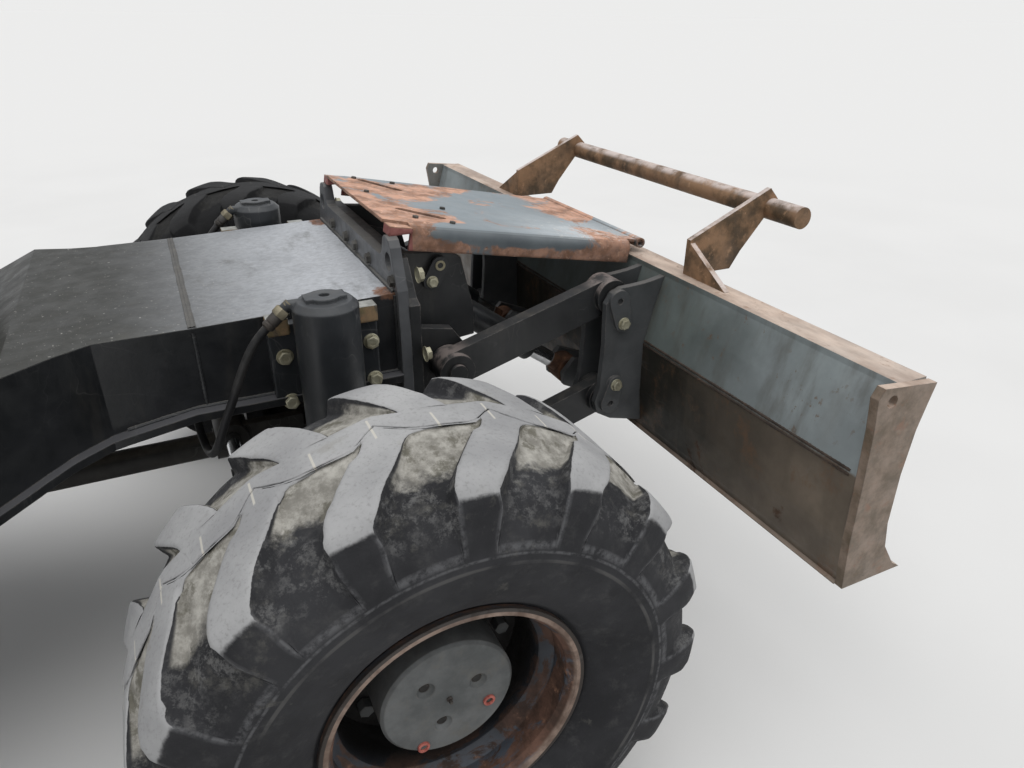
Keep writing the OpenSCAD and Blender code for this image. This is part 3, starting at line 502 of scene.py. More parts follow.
def tyre_rubber(name, wear, shade):
    """Worn rubber: grey lug tops, sandy floors near the middle, dark cracked shoulders, painted highlights
    on the shoulder lugs' edges and across the middle of the lug tops, and a painted shade, set by shade, on
    the black rubber.

    The mesh says where a point is. In zone red is a lug's top, green a groove's floor and blue how far
    from the middle. In local are the places from the wheel's centre."""
    p = Paint(name)
    top, floor, across = p.attribute("zone")
    x, _, z = p.attribute("local")
    off = p.times(across, ACROSS)
    black = p.mix(p.cloud(0.35, 0.68, 6, 6, 0.6), (0.018, 0.018, 0.02), (0.037, 0.037, 0.04))
    scuffs = p.cloud(0.5, 0.78, 20, 7, 0.72, shift=(2, 2, 2))
    black = p.over(black, (0.095, 0.093, 0.09), scuffs, 0.45)
    radius = p.reach(x, z)
    ring = p.band(p.apart(radius, RING * MM), 0.0045, 0.002)
    ring = p.times(ring, p.band(across, 0.99, 0.999), p.cloud(0.35, 0.6, 12, 5))
    black = p.over(black, (0.105, 0.102, 0.098), ring, 0.7)
    cracked = p.cloud(0.47, 0.6, 42, 8, 0.8, shift=(1, 4, 6))
    cracked = p.times(cracked, p.cloud(0.4, 0.58, 8, 6, 0.7, shift=(7, 4, 1), to=(0.15, 1)))
    beside = p.minus(1, top)
    shoulder = p.times(p.band(off, 90, 130), p.band(off, 225, 214), cracked, beside)
    black = p.over(black, (0.155, 0.153, 0.15), shoulder, 0.75 * wear)
    # Paler rims along the lugs' top edges on the shoulders: scuffed rubber and a painted highlight that
    # shows the lugs' relief
    rims = p.times(top, beside, 4, p.band(off, 190, 204), p.cloud(0.35, 0.6, 60, 6, 0.7))
    black = p.over(black, (0.16, 0.16, 0.165), rims, 0.6 * wear)
    # Painted shade: shade darkens the black rubber of a tyre that lies in shadow
    black = p.mix(1, black, (shade, shade, shade), "MULTIPLY")
    cloud = p.cloud(0.3, 0.7, 5, 6, 0.6, shift=(8, 1, 1))
    grey = p.mix(cloud, (0.3, 0.298, 0.3), (0.425, 0.422, 0.418))
    specks = p.cloud(0.5, 0.72, 140, 4, 0.7)
    grey = p.over(grey, (0.165, 0.16, 0.152), specks, 0.4)
    stains = p.cloud(0.6, 0.72, 13, 6, 0.65, shift=(6, 6, 1))
    grey = p.over(grey, (0.24, 0.225, 0.19), stains, 0.35)
    sand = p.mix(p.cloud(0.35, 0.7, 34, 7, 0.7), (0.22, 0.208, 0.182), (0.47, 0.45, 0.405))
    damp = p.cloud(0.5, 0.6, 17, 8, 0.72, shift=(4, 9, 2))
    sand = p.over(sand, (0.12, 0.112, 0.085), damp, 0.8)
    ragged = p.sway(90, 22, 7, 0.72, shift=(5, 0, 5))
    ragged = p.plus(ragged, p.sway(90, 5, 2, 0.5, shift=(1, 0, 3)))
    middle = p.band(p.plus(off, ragged), 138, 112)
    color = p.over(black, sand, p.band(floor, 0.01, 0.12), middle, wear)
    rim_dust = p.times(p.band(p.plus(off, ragged), 214, 206), p.cloud(0.5, 0.75, 25, 6, 0.7))
    color = p.over(color, (0.22, 0.21, 0.18), rim_dust, p.band(off, 150, 160), 0.35 * wear)
    worn = p.plus(top, p.sway(0.7, 70, 6, 0.7))
    end = p.band(p.plus(off, p.times(ragged, 0.12)), 206, 201)
    worn = p.times(p.band(worn, 0.42, 0.6), end, wear)
    color = p.mix(worn, color, grey)
    # Pale short lines across the lug tops near the middle: a painted highlight on the edges of the sipes
    turn = p.calc("DIVIDE", p.calc("ARCTAN2", x, z), math.radians(PITCH) / 2)
    turn = p.apart(p.calc("FRACT", p.plus(turn, 0.18 + LUGS)), 0.5)
    line = p.times(p.band(turn, 0.026, 0.014), p.band(off, 34, 30), worn)
    color = p.over(color, (0.6, 0.57, 0.5), line, 0.8)
    cracks = p.plus(p.grain(45, 7, 0.75), p.times(p.grain(160, 4, 0.7), 0.35))
    depth = p.plus(0.4, p.times(p.minus(1, worn), p.band(off, 224, 212), 0.9))
    normal = p.relief(p.times(cracks, depth), 0.0034, 0.6)
    return p.set(color=color, rough=0.8, normal=normal, spec=0.3)


# Meshes

class Shape:
    """Collects many small pieces into one mesh."""

    def __init__(self):
        self.points, self.faces, self.slots = [], [], []

    def skin(self, rings, slot):
        """Joins rings of points one after the other. A ring may be a single point."""
        sides = max(len(ring) for ring in rings)
        numbered = []
        for ring in rings:
            numbered.append(range(len(self.points), len(self.points) + len(ring)))
            self.points += ring
        for a, b in zip(numbered, numbered[1:]):
            for k in range(sides):
                n = (k + 1) % sides
                corners = (a[k % len(a)], a[n % len(a)], b[n % len(b)], b[k % len(b)])
                self.faces.append(tuple(dict.fromkeys(corners)))
                self.slots.append(slot)

    def lathe(self, at, axis, profile, sides, slot, turn=0):
        """Turns a profile of (radius, height) round an axis through at."""
        spin = Vector(axis).to_track_quat("Z", "X")
        rings = []
        for radius, height in profile:
            turns = [turn + 2 * math.pi * k / sides for k in range(sides if radius > 0 else 1)]
            local = [Vector((radius * math.cos(a), radius * math.sin(a), height)) for a in turns]
            rings.append([Vector(at) + spin @ q for q in local])
        self.skin(rings, slot)

    def bolt(self, at, axis, size, slot, turn, washer=True):
        """A washer with a hexagon head on it. Size is the thread's diameter."""
        rise = size * 0.16 if washer else 0
        if washer:
            wide = size * 1.02
            self.lathe(at, axis, [(wide, 0), (wide, rise * 0.7), (wide * 0.94, rise), (0, rise)], 28, slot)
        across = size * 0.88
        high = rise + size * 0.62
        dip = high - size * 0.03
        head = [(across, rise), (across, high - size * 0.1), (across * 0.84, high), (across * 0.5, high),
                (across * 0.46, dip), (0, dip)]
        self.lathe(at, axis, head, 6, slot, turn)

    def oval(self, a, b, axis, radius, thick, slot, steps=14):
        """A plate with round ends from a to b, standing on the plane through them."""
        out = Vector(axis)
        ahead = (b - a).normalized()
        across = out.cross(ahead)
        rim = []
        for centre, start in ((b, -90), (a, 90)):
            for k in range(steps + 1):
                turn = math.radians(start + 180 * k / steps)
                rim.append(centre + radius * (math.cos(turn) * ahead + math.sin(turn) * across))
        self.skin([rim, [q + out * thick for q in rim], [(a + b) / 2 + out * thick]], slot)

    def bead(self, path, radius, seed, sides=7, step=0.0035):
        """A weld bead along a path, with the ripples of its passes."""
        line = resample(path, step)
        rings = []
        for i, q in enumerate(line):
            ahead = (line[min(i + 1, len(line) - 1)] - line[max(i - 1, 0)]).normalized()
            first = ahead.cross(Vector((0.31, 0.17, 0.93))).normalized()
            second = ahead.cross(first)
            swell = 1 + 0.1 * math.sin(i * 1.9 + seed) + 0.22 * noise.noise(q * 23 + Vector((seed, 0, 0)))
            turns = [2 * math.pi * k / sides for k in range(sides)]
            rings.append([q + radius * swell * (math.cos(a) * first + math.sin(a) * second) for a in turns])
        self.skin(rings, 0)

    def make(self, name, body, slot_name, materials):
        mesh = new_mesh(name, self.points, self.faces, materials, 38)
        mesh.polygons.foreach_set("material_index", self.slots)
        return place(mesh, name, body, slot_name)


def new_mesh(name, points, faces, materials, crease):
    """A smooth mesh. Its edges are sharp where the faces turn by more than crease, in degrees."""
    mesh = bpy.data.meshes.new(name)
    mesh.from_pydata(points, [], faces)
    for material in materials:
        mesh.materials.append(material)
    mesh.polygons.foreach_set("use_smooth", [True] * len(faces))
    mesh.set_sharp_from_angle(angle=math.radians(crease))
    mesh.update()
    return mesh


def place(data, name, body, slot_name):
    piece = add_object(name, data)
    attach(piece, body)
    return piece


def resample(points, step):
    """Points at even distances along a line of points."""
    out = [points[0]]
    left = step
    for a, b in zip(points, points[1:]):
        length = (b - a).length
        while left < length:
            out.append(a + (b - a) * (left / length))
            left += step
        left -= length
    out.append(points[-1])
    return out


def smooth_line(points, steps=6):
    """A Catmull-Rom line through the points."""
    q = [points[0], *points, points[-1]]
    out = []
    for a, b, c, d in zip(q, q[1:], q[2:], q[3:]):
        for i in range(steps):
            t = i / steps
            out.append(0.5 * (2 * b + (c - a) * t + (2 * a - 5 * b + 4 * c - d) * t**2
                              + (3 * b - 3 * c + d - a) * t**3))
    out.append(points[-1])
    return out


def lookup(table, place):
    """The value at a place, in a table of (place, value) with straight lines between its rows."""
    return float(np.interp(place, *np.array(table).T))


def on_front(x, y, z):
    """Millimetres from the front axle, as in part.scad, to metres in the frame."""
    return Vector((AXLE_X + x * MM, y * MM, z * MM))


# Hoses

# Along the hose's middle, from the cylinder's port to the frame's underside, in mm from the front axle
HOSE_ROUTE = [(-127.5, 480, 1108.2), (-141, 480, 1096.302), (-156, 479.5, 1082.5),
              (-171, 478, 1067), (-185, 476, 1050), (-197, 473, 1031), (-207, 470, 1012), (-216, 467, 993),
              (-233, 461, 953), (-250, 458, 912), (-269, 457, 872), (-285, 457, 836), (-297, 451, 804),
              (-307, 435, 776), (-315, 410, 755), (-321, 379, 743), (-326, 347, 743), (-330, 316, 755),
              (-333, 291, 776), (-335, 275, 803), (-335, 269, 835), (-335, 269, 857)]
HOSE_R = 0.01
# Outlines of the fittings, as radius and place along the hose, in metres
FERRULE = [(0, -0.001), (0.0145, -0.001), (0.015, 0.002), (0.015, 0.02), (0.0138, 0.021),
           (0.0138, 0.024), (0.015, 0.025), (0.015, 0.033), (0.0116, 0.037), (0.0112, 0.037)]
HOSE_NUT = [(0, -0.021), (0.0165, -0.021), (0.019, -0.018), (0.019, -0.003), (0.0165, 0), (0, 0)]
ELBOW = [(0, -0.04), (0.0125, -0.04), (0.0125, -0.021), (0, -0.021)]


def make_hose(name, s, rubber, metals):
    route = smooth_line([on_front(x, s * y, z) for x, y, z in HOSE_ROUTE])
    curve = bpy.data.curves.new(name, "CURVE")
    curve.dimensions = "3D"
    curve.bevel_depth = HOSE_R
    curve.bevel_resolution = 5
    curve.use_fill_caps = True
    line = curve.splines.new("POLY")
    line.points.add(len(route) - 1)
    for point, q in zip(line.points, route):
        point.co = (*q, 1)
    curve.materials.append(rubber)
    hose = place(curve, name, "chassis", "hose_rubber")
    ends = Shape()
    start_way = route[2] - route[0]
    ends.lathe(route[0], start_way, FERRULE, 28, 0)
    ends.lathe(route[0], start_way, HOSE_NUT, 6, 1)
    ends.lathe(route[0], start_way, ELBOW, 24, 1)
    ends.lathe(route[-1], route[-3] - route[-1], FERRULE, 28, 0)
    fitting = ends.make(name + "_fittings", "chassis", "hose_rubber", metals)
    return hose


# Tyres

LUGS = 16
PITCH = 360 / LUGS
ACROSS = 229
RING = 394
# Half width and radius, along the lugs, along the grooves and down the side, where RING is a ridge's radius.
# FLAT points lie under the tread
TOP_LINE = [(0, 550), (110, 549.5), (150, 547.5), (175, 541), (192, 531), (203, 518), (210, 505), (216, 490),
            (221, 470), (226, 440), (228.5, 415)]
FLOOR_LINE = [(0, 545.5), (20, 545), (36, 543), (45, 541.5), (60, 538), (90, 528.5), (120, 520), (150, 513),
              (175, 505), (193, 492), (205, 476), (214, 458), (221, 438), (226, 425), (228.5, 415)]
SIDE_LINE = [(229, 408), (228.8, 403), (229.4, 397), (230.2, 394), (229.4, 391), (228.2, 386),
             (226, 375), (222.5, 360), (219, 345), (212, 326), (205, 310), (197, 297), (190, 285),
             (181, 274), (176, 268.5), (172, 266), (171.6, 263.5), (165, 256)]
# Half width, then the lug's edge in degrees
REAR_EDGE = [(0, -10), (30, -11.8), (45, -13), (75, -15), (110, -17.6), (150, -20.7), (190, -23),
             (203, -22.8), (214, -23.2), (228, -23)]
FRONT_EDGE = [(0, 1), (31, -2.4), (75, -5), (110, -7.3), (150, -10.5), (180, -12.6), (200, -14.8),
              (206, -14.8), (214, -14.4), (228, -15.4)]
FLAT = 8
# Where the rows are along the top line, as distances from the middle in mm
ROW_AT = [6, 8, 12, 20, 30, 38, 43, 46, 52, 60, 75, 90, 108, 126, 142, 156, 168, 178, 187, 196, 205, 214,
          223, 233, 244, 256, 269, 282, 296]
# Where the fine groove in the middle runs: shares of a pitch and mm from the middle
ZIG = [(0, 27), (0.01, 28), (0.19, 30), (0.45, 33), (0.64, -8), (0.68, -18), (0.87, 14), (1, 27)]
# Nearer to the middle than this the lugs of each half run together, in mm
CLOSED = (7, 44)
CLOSED_EDGE = 12.1
# Across a lug's wall: distance past its top edge and depth below it, in mm, and how it leans lower down
WALL = [(-9, 0), (-3.5, 0.9), (-0.8, 3.2), (1, 7.5)]
DRAFT = 0.28
TOP_COLUMNS = 14
FLOOR_COLUMNS = 5


def lengths_of(line):
    """How far along a line each of its points is."""
    return np.concatenate([[0], np.cumsum(np.hypot(*np.diff(np.array(line, float), axis=0).T))])


def along_line(line, distance):
    """The point of a line of (half width, radius) at a distance along it."""
    half, radius = np.array(line, float).T
    lengths = lengths_of(line)
    return np.array([np.interp(distance, lengths, half), np.interp(distance, lengths, radius)])


def zigzag(degrees):
    """Place of the fine groove in the middle of the tread, in mm."""
    return lookup(ZIG, (degrees / PITCH) % 1)


def tread_rows():
    """Rows of one side from the middle out: top and floor point, share of the zigzag, how far down it is."""
    out = []
    for down, shift in ((6.5, 0), (6, 0.8), (2, 1.4), (0.5, 2.4)):
        point = np.array([shift, TOP_LINE[0][1] - down])
        out.append((point, point - (0, 0.1), 1, down))
    tops, floors = lengths_of(TOP_LINE), lengths_of(FLOOR_LINE)
    below = [*(q[0] for q in FLOOR_LINE[:FLAT]), tops[-1]], [*floors[:FLAT], floors[-1]]
    for d in ROW_AT:
        fade = np.interp(d, (10, 62), (1, 0))
        out.append((along_line(TOP_LINE, d), along_line(FLOOR_LINE, np.interp(d, *below)), fade, 0))
    out.append((np.array(TOP_LINE[-1]), np.array(FLOOR_LINE[-1]), 0, 0))
    return out


def between(start, end, count):
    return [start + (end - start) * k / count for k in range(1, count)]


def lug_columns(rear, front, depth, radius):
    """Angle in degrees and depth in mm of each column of one pitch, at one row."""
    per_mm = math.degrees(1) / radius
    gap = (rear + PITCH - front) / per_mm
    tight = min(1, max(0.12, gap / 34))
    slope = [(a * tight, b * tight) for a, b in WALL]
    foot = min(gap * 0.4, tight + DRAFT * depth)
    slope += [((slope[-1][0] + foot) / 2, depth * 0.55), (foot, depth * 0.93), (foot + 3.5 * tight, depth)]
    slope = [(a, min(b, depth)) for a, b in slope]
    wall_up = [(rear - a * per_mm, b) for a, b in reversed(slope)]
    wall_down = [(front + a * per_mm, b) for a, b in slope]
    tops = between(wall_up[-1][0], wall_down[0][0], TOP_COLUMNS)
    floors = between(wall_down[-1][0], wall_up[0][0] + PITCH, FLOOR_COLUMNS)
    return wall_up + [(a, 0) for a in tops] + wall_down + [(a, depth) for a in floors]


def tyre_side(side):
    """Points, faces and zones of one half of a tyre, in mm. Side 0 lies at +Y and side 1 at -Y."""
    out = 1 - 2 * side
    grid, zones = [], []
    for top, floor, zig, sunk in tread_rows():
        depth = whole = float(np.hypot(*(top - floor)))
        rear = lookup(REAR_EDGE, top[0])
        front = lookup(FRONT_EDGE, top[0])
        if top[0] < CLOSED[side]:
            depth, front = min(depth, 0.8), CLOSED_EDGE
        one = lug_columns(rear, front, depth, top[1])
        row, zone = [], []
        for lug in range(LUGS):
            turn = (lug + side / 2) * PITCH
            for degrees, down in one:
                y, r = top + (floor - top) * down / max(whole, 0.001)
                y += zig * zigzag(degrees + turn) * out
                row.append((degrees + turn, y, r))
                red = max(0, 1 - max(down, sunk) / 5)
                green = (down / max(depth, 0.001))**3 * min(1, down / 6)
                zone.append((red, green, min(1, top[0] / ACROSS)))
        grid.append(row)
        zones.append(zone)
    turns = [degrees for degrees, _, _ in grid[-1]]
    for y, r in SIDE_LINE:
        wave = 3 if RING - 8 <= r <= RING + 3 else 0
        grid.append([(a, y, r + wave * math.sin(math.radians(a * LUGS))) for a in turns])
        zones.append([(0, 0, 1)] * len(turns))
    points = []
    shift = Vector((0, side * 500, 0))
    for row, zone in zip(grid, zones):
        for (degrees, y, r), (top, floor, across) in zip(row, zone):
            a = math.radians(degrees)
            if across < 1 or r > 400:
                q = Vector((r * math.sin(a), y, r * math.cos(a)))
                bite = max(0, noise.noise((q + shift) * 0.045) - 0.22) * 14
                edge = 4 * top * (1 - top)
                r -= bite * edge + 0.9 * noise.noise(q * 0.02) + 0.8 * floor * noise.noise(q * 0.08)
            r = min(r, TOP_LINE[0][1])
            points.append((r * math.sin(a), y * out, r * math.cos(a)))
    wide = len(turns)
    faces = []
    for start in range(0, wide * (len(grid) - 1), wide):
        for k in range(wide):
            n = (k + 1) % wide
            quad = (start + k, start + n, start + wide + n, start + wide + k)
            faces.append(quad[::-out])
    return points, faces, [z for zone in zones for z in zone]


def tyre_mesh(name, s, material, halves):
    """A whole tyre. s is 1 on the left and -1 on the right, where it is mirrored."""
    points, faces, zones = [], [], []
    for half_points, half_faces, half_zones in halves:
        start = len(points)
        points += [(x * MM, s * y * MM, z * MM) for x, y, z in half_points]
        faces += [tuple(start + k for k in face[::s]) for face in half_faces]
        zones += half_zones
    mesh = new_mesh(name, points, faces, [material], 50)
    for key, values in (("zone", zones), ("local", points)):
        layer = mesh.color_attributes.new(key, "FLOAT_COLOR", "POINT")
        layer.data.foreach_set("color", np.array([(*v, 1) for v in values], np.float32).ravel())
    return mesh


# Name, place of the axle, side, body, how worn and dusty the tyre is, and how much painted shade darkens its
# rubber. The front left tyre's low wear and shade are partly painted shadow
WHEELS = [("front_left", AXLE_X, 1, "wheel_fl", 0.05, 0.25), ("front_right", AXLE_X, -1, "wheel_fr", 1, 1),
          ("rear_left", REAR_X, 1, "wheel_rl", 0.4, 0.8), ("rear_right", REAR_X, -1, "wheel_rr", 0.8, 1)]


def make_tyres():
    halves = [tyre_side(0), tyre_side(1)]
    for name, x, s, body, wear, shade in WHEELS:
        rubber = tyre_rubber("tyre_rubber_worn_" + name, wear, shade)
        mesh = tyre_mesh("tread_" + name, s, rubber, halves)
        mesh.transform(Matrix.Translation((x, s * WHEEL_Y, WHEEL_Z)))
        piece = place(mesh, "tread_" + name, body, "tyre_rubber")
        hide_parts("tyre_" + name)


HUB_FACE = WHEEL_Y + 0.123
# Outlines as radius and height above the hub's face, in metres
DIMPLE = [(0.0105, -0.0085), (0.0095, -0.0073), (0, -0.0073)]
PLUG = [(0.0125, 0), (0.0125, 0.0035), (0.0115, 0.0045), (0.0078, 0.0045), (0.0072, 0.003), (0.0072, 0.0006)]
SOCKET = [(0.0072, 0.001), (0.0042, 0.001), (0.0036, -0.0015), (0, -0.0015)]
NIPPLE = [(0.006, 0), (0.006, 0.003), (0.004, 0.004), (0.0038, 0.009), (0.0028, 0.012), (0, 0.0125)]
# Distance from the hub's middle, degrees, outline, sides and material
HUB_DETAILS = [*((0.063, a, DIMPLE, 20, 2) for a in (17, 137, 257)),
               (0.0936, -28.3, PLUG, 28, 0), (0.0936, -28.3, SOCKET, 6, 1),
               (0.119, -118.7, PLUG, 28, 0), (0.119, -118.7, SOCKET, 6, 1), (0, 0, NIPPLE, 20, 1)]


def make_hub_details():
    """Red level plugs, dark dimples and the middle nipple of each hub cover."""
    red = Paint("plug_red")
    color = red.mix(red.cloud(0.4, 0.6, 60, 5), (0.3, 0.065, 0.05), (0.52, 0.15, 0.115))
    red.set(color=color, rough=0.6, normal=red.rounded(0.001))
    metal = bare_steel("plug_steel", (0.2, 0.19, 0.17), (0.06, 0.05, 0.045), 0.5, 0.5)
    dark = rusty_metal("hub_dimple", 40, (0.015, 0.014, 0.013), (0.03, 0.028, 0.026), (0.06, 0.055, 0.05))
    for name, x, s, body, _, _ in WHEELS:
        shape = Shape()
        for radius, degrees, outline, sides, slot in HUB_DETAILS:
            a = math.radians(degrees)
            at = (x + radius * math.cos(a), s * HUB_FACE, WHEEL_Z + radius * math.sin(a))
            shape.lathe(at, (0, s, 0), outline, sides, slot)
        shape.make("hub_plugs_" + name, body, "hub_grey", [red.material, metal, dark])


# Bolts, welds and small fittings

# Sizes of bolts in metres, and their places in mm from the front axle
BOLT = 0.02
BOX_Y = 430
BOX_BOLTS = [(-118, 985), (-116, 866), (92, 988), (94, 885)]
FLANGE_X, FLANGE_BOLT_Z = 170, 1120
FLANGE_BOLTS_Y = [219, 58, -44, -179, -389]
BRACKET_FRONT = 226
BRACKET_BOLTS = [(412, 1135), (445, 933), (412, 730)]
CHEEK_Y = 497
CHEEK_BOLTS = [(800, 940), (791, 748)]
COVER_BOLTS = [(262, 287), (380, 261), (240, 62), (282, -252), (373, -285), (416, -97)]
# Two ends of the plate that keeps the lift cylinder's pin, and how thick it is
KEEPER_Y = 313
KEEPER = ((322, 1120), (298, 1078))
KEEPER_T = 6
PIN_END = [(0.014, 0), (0.014, 0.002), (0.008, 0.002), (0.007, -0.003), (0, -0.003)]


def make_bolts():
    zinc = bare_steel("zinc_yellow", (0.5, 0.48, 0.36), (0.3, 0.27, 0.18), 0.5, 0.42, 0.001)
    grimy = bare_steel("bolt_grimy", (0.13, 0.125, 0.115), (0.05, 0.046, 0.04), 0.4, 0.5, 0.001)
    black = painted("keeper_black", (0.03, 0.031, 0.033), (0.016, 0.017, 0.018), radius=0.001)
    metals = [zinc, grimy, black]
    chassis, blade, cover = Shape(), Shape(), Shape()
    (pin_x, pin_z), (end_x, end_z) = KEEPER
    for y in FLANGE_BOLTS_Y:
        chassis.bolt(on_front(FLANGE_X, y, FLANGE_BOLT_Z), (-1, 0, 0), 0.016, 1, y)
    for s in (-1, 1):
        out = (0, s, 0)
        for x, z in BOX_BOLTS:
            chassis.bolt(on_front(x, s * BOX_Y, z), out, BOLT, 0, x)
        for y, z in BRACKET_BOLTS:
            chassis.bolt(on_front(BRACKET_FRONT, s * y, z), (1, 0, 0), BOLT, 0, z)
        outer_y = s * (KEEPER_Y + KEEPER_T)
        a, b = (on_front(x, s * KEEPER_Y, z) for x, z in KEEPER)
        chassis.oval(a, b, out, 0.024, KEEPER_T * MM, 2)
        chassis.bolt(on_front(end_x, outer_y, end_z), out, 0.016, 0, end_x)
        chassis.lathe(on_front(pin_x, outer_y, pin_z), out, PIN_END, 24, 0)
        for x, z in CHEEK_BOLTS:
            blade.bolt(on_front(x, s * CHEEK_Y, z), out, 0.018, 0, z)
    for x, y in COVER_BOLTS:
        cover.bolt(on_front(x, y, cover_top(x)), COVER_UP, 0.01, 1, x, washer=False)
    chassis.make("chassis_bolts", "chassis", "ring_steel", metals)
    blade.make("blade_bolts", "blade", "ring_steel", metals)
    cover.make("cover_bolts", "cover", "ring_steel", metals)


# Front and rear end of the cover's underside, and how thick the cover is, in mm
COVER_PIN = (975, 1101)
COVER_REAR = (178, 1246)
COVER_T = 8
COVER_UP = Vector((COVER_REAR[1] - COVER_PIN[1], 0, COVER_PIN[0] - COVER_REAR[0])).normalized()


def cover_top(x):
    """Height of the cover's top face at a distance in front of the axle, in mm."""
    share = (COVER_PIN[0] - x) / (COVER_PIN[0] - COVER_REAR[0])
    return COVER_PIN[1] + share * (COVER_REAR[1] - COVER_PIN[1]) + COVER_T / COVER_UP.z


# Heights of the frame's top face, places of the blade's back and of the welds, in mm
FRAME_TOP = [(-680, 1064), (-500, 1076), (-300, 1078), (170, 1092)]
BLADE_BACK = [(575, 908), (600, 900), (700, 888), (860, 884), (960, 908), (1058, 935)]
SEAM_Z = 862
SEAMS_Y = [(-1234, -488), (488, 1234), (-350, 350)]
SIDE_WELD = [(-480, 858), (-330, 881), (168, 881)]
SIDE_Y = 401
SIDE_Z = 884
RIDGE_X = -305
BEAD_Y = range(-396, 397, 12)


def make_welds():
    """A ridge across the frame, beads down its sides and at the flange, and the blade's long seam."""
    weld = painted("weld_paint", (0.034, 0.036, 0.038), (0.016, 0.017, 0.018), rough=0.5, dust=0.4,
                   top=(0.14, 0.135, 0.125), radius=0.001)
    seam = rusty_metal("weld_blade", 22, (0.035, 0.026, 0.02), (0.085, 0.06, 0.045), (0.19, 0.11, 0.07),
                       radius=0.001)
    beads, lines = Shape(), Shape()
    foot_x = FLANGE_X - 1
    for x, seed in ((RIDGE_X - 4, 1), (RIDGE_X + 4, 2)):
        beads.bead([on_front(x, y, lookup(FRAME_TOP, x) - 3) for y in BEAD_Y], 0.006, seed)
    for s in (-1, 1):
        beads.bead([on_front(RIDGE_X, s * (SIDE_Y - 1), z) for z in range(SIDE_Z, 1076, 8)], 0.0042, 3)
        beads.bead([on_front(x, s * SIDE_Y, z) for x, z in SIDE_WELD], 0.005, 4)
        beads.bead([on_front(foot_x, s * SIDE_Y, z) for z in (SIDE_Z, 1088)], 0.006, 5)
    beads.bead([on_front(foot_x, y, lookup(FRAME_TOP, foot_x)) for y in BEAD_Y], 0.007, 6)
    beads.make("frame_welds", "chassis", "frame_black", [weld])
    for ends in SEAMS_Y:
        for z in (SEAM_Z - 5, SEAM_Z + 5):
            back = lookup(BLADE_BACK, z) + 1
            lines.bead([on_front(back, y, z) for y in ends], 0.0038, ends[0])
    lines.make("blade_seam", "blade", "blade_paint", [seam])


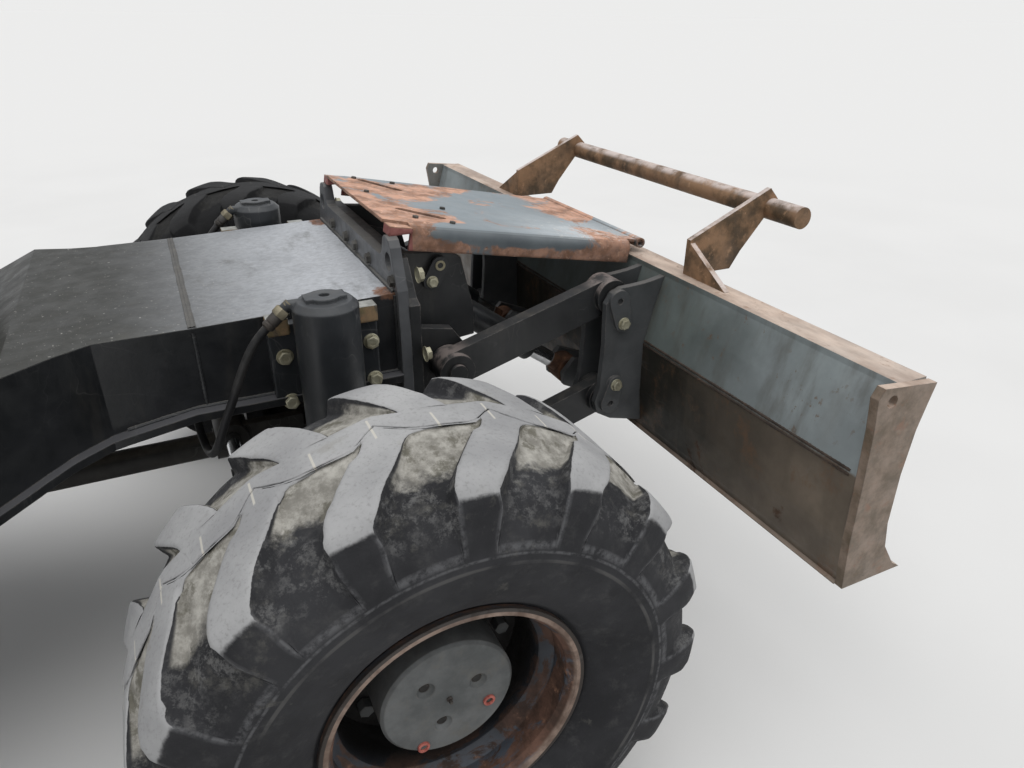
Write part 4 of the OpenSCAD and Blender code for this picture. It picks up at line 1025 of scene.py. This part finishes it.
def finish_cad():
    """Gives every node of the frame its worn finish."""
    black = painted("frame_black_worn", (0.02, 0.021, 0.023), (0.011, 0.012, 0.013), rough=0.36,
                    top=frame_top_dirt_and_sheen, top_share=1.1, wear=0.9, dust=0.06, stain=frame_stain, scuff=0.07,
                    edge=(0.115, 0.1, 0.085),
                    rust_tint=(20, (0.12, 0.06, 0.035), (0.26, 0.13, 0.08), (0.46, 0.24, 0.14)))
    flange = painted("flange_black_worn", (0.12, 0.124, 0.13), (0.062, 0.064, 0.068),
                     top=(0.15, 0.148, 0.14), wear=0.7, dust=0.3)
    cylinder = painted("cylinder_black_worn", (0.035, 0.038, 0.042), (0.02, 0.022, 0.024), rough=0.36,
                       top=(0.085, 0.09, 0.096), radius=0.008, stain=block_stain, dust=0.12,
                       edge=(0.13, 0.135, 0.14), patch=block_patch,
                       rust_tint=(20, (0.17, 0.14, 0.07), (0.3, 0.2, 0.11), (0.48, 0.24, 0.11)))
    barrel = painted("barrel_black_worn", (0.024, 0.026, 0.028), (0.012, 0.013, 0.014), rough=0.36,
                     top=(0.105, 0.108, 0.11), radius=0.006, dust=0.35, rust=0.02)
    axle = painted("axle_grey_worn", (0.045, 0.042, 0.037), (0.018, 0.016, 0.014), rough=0.6,
                   top=(0.13, 0.112, 0.088), rust=0.03, dust=0.6, radius=0.005)
    worn = {"scuff": 0.15, "wear": 1, "edge": (0.2, 0.175, 0.16)}
    arm = painted("arm_black_worn", (0.03, 0.031, 0.032), (0.015, 0.016, 0.017), rough=0.4,
                  top=(0.042, 0.042, 0.043), rust=0.03, patch=arm_patch, **worn)
    rib = painted("rib_grey_worn", (0.105, 0.109, 0.112), (0.052, 0.055, 0.057), rough=0.45,
                  top=(0.11, 0.105, 0.1), rust=0.04, **worn)
    blade = painted("blade_blue_worn", lambda p: blade_color(p, 1.2, 1.1),
                    lambda p: blade_color(p, 0.8, 0.6), rough=0.45, top=strip_color, top_share=1,
                    rust=-0.03, stain=blade_stain, radius=0.003, dust=0, scuff=0.12,
                    rust_tint=(14, (0.035, 0.022, 0.014), (0.1, 0.055, 0.034), (0.24, 0.12, 0.065)))
    cover = painted("cover_blue_worn", (0.15, 0.172, 0.182), (0.085, 0.1, 0.11), rough=0.38,
                    top=cover_top_color, rust=0.09, stain=cover_stain, radius=0.01, dust=0.12,
                    edge=(0.2, 0.12, 0.085), wear=0.8, patch=cover_highlight_and_marks,
                    rust_tint=(16, (0.19, 0.1, 0.062), (0.41, 0.23, 0.155), (0.56, 0.35, 0.245)))
    brown = rusty_metal("rusty_steel_worn", 11, (0.104, 0.07, 0.041), (0.335, 0.2, 0.112),
                        (0.5, 0.305, 0.176), top=(0.72, 0.625, 0.58))
    edge = rusty_metal("edge_steel_worn", 8, (0.1, 0.09, 0.08), (0.2, 0.17, 0.14), (0.32, 0.27, 0.23),
                       shine=0.2)
    ring = bare_steel("ring_steel_worn", (0.3, 0.3, 0.29), (0.11, 0.105, 0.1), 0.6, 0.42)
    chrome = chrome_rod("rod_chrome_worn")
    looks = {
        "frame_main step_left step_right": black,
        "front_flange rear_flange": flange,
        "rotary_joint travel_gearbox front_axle rear_axle prop_shaft steering_cylinder": axle,
        "tie_rod_left tie_rod_right knuckle_left knuckle_right": axle,
        "osc_cylinders": cylinder,
        "osc_rod_left osc_rod_right steer_rod lift_rods": chrome,
        "slew_ring_inner slew_ring_outer": ring,
        "upper_links lower_links blade_bracket": arm,
        "blade_board": blade,
        "cutting_edge": edge,
        "blade_ribs": rib,
        "bucket_rest": brown,
        "cover_plate": cover,
        "lift_barrels": barrel,
        " ".join("hub_" + name for name, *_ in WHEELS): hub_paint("hub_grey_worn"),
    }
    for name, x, *_ in WHEELS:
        looks["rim_" + name] = wheel_rim("rim_worn_" + name, x)
    for names, look in looks.items():
        for name in names.split():
            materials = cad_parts[name].data.materials
            materials.clear()
            materials.append(look)


def make_world(strength):
    """Even light from all round. What the camera sees of it is pale."""
    world = bpy.data.worlds.new("world")
    p = Nodes(world)
    sky = p.tree.nodes["Background"]
    p.feed(sky.inputs["Color"], SKY)
    p.feed(sky.inputs["Strength"], strength)
    pale = p.add("Background", {"Color": BACKDROP})
    seen = p.add("LightPath", {}, "Is Camera Ray")
    light = p.add("MixShader", {0: seen, 1: sky.outputs[0], 2: pale})
    p.feed(p.tree.nodes["World Output"].inputs[0], light)
    bpy.context.scene.world = world


def make_floor():
    """A pale floor. The camera and reflections see it paler than it lights the machine."""
    p = Paint("floor_pale")
    near = p.band(p.reach(p.axis("X"), p.axis("Y")), 12, 4)
    mottle = p.times(p.cloud(0.3, 0.7, 0.6, 4, 0.5), near)
    lit = ABOVE * -OVERHEAD.z + SIDEWAYS * -FROM_RIGHT.z
    even = tuple(c / (AROUND * sky + lit) for c, sky in zip(BACKDROP, SKY))
    pale = p.mix(mottle, even, tuple(0.95 * c for c in even))
    seen = p.add("LightPath", {}, "Is Camera Ray")
    for kind in ("Is Glossy Ray", "Is Transmission Ray"):
        seen = p.calc("MAXIMUM", seen, p.add("LightPath", {}, kind))
    p.set(color=p.mix(seen, (0.45, 0.45, 0.445), pale), rough=0.9, spec=0)
    corners = [(a * FLOOR_HALF, b * FLOOR_HALF, 0) for a, b in ((-1, -1), (1, -1), (1, 1), (-1, 1))]
    mesh = new_mesh("floor", corners, [(0, 1, 2, 3)], [p.material], 50)
    add_object("floor", mesh)


bpy.context.scene.view_settings.view_transform = "Standard"
make_camera()
hose_black = rubber_hose("hose_rubber_worn")
fitting_metals = [bare_steel("ferrule_steel", (0.1, 0.095, 0.09), (0.04, 0.035, 0.03), 0.6, 0.45),
                  bare_steel("fitting_zinc", (0.38, 0.34, 0.24), (0.12, 0.1, 0.07), 0.7, 0.4)]
left_hose = make_hose("osc_hose_left", 1, hose_black, fitting_metals)
make_hose("osc_hose_right", -1, hose_black, fitting_metals)
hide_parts("osc_hoses")
make_floor()
make_world(AROUND)
make_soft_sun("overhead", OVERHEAD, ABOVE, 70)
make_soft_sun("right", FROM_RIGHT, SIDEWAYS, 40)
finish_cad()
make_tyres()
make_hub_details()
make_bolts()
make_welds()
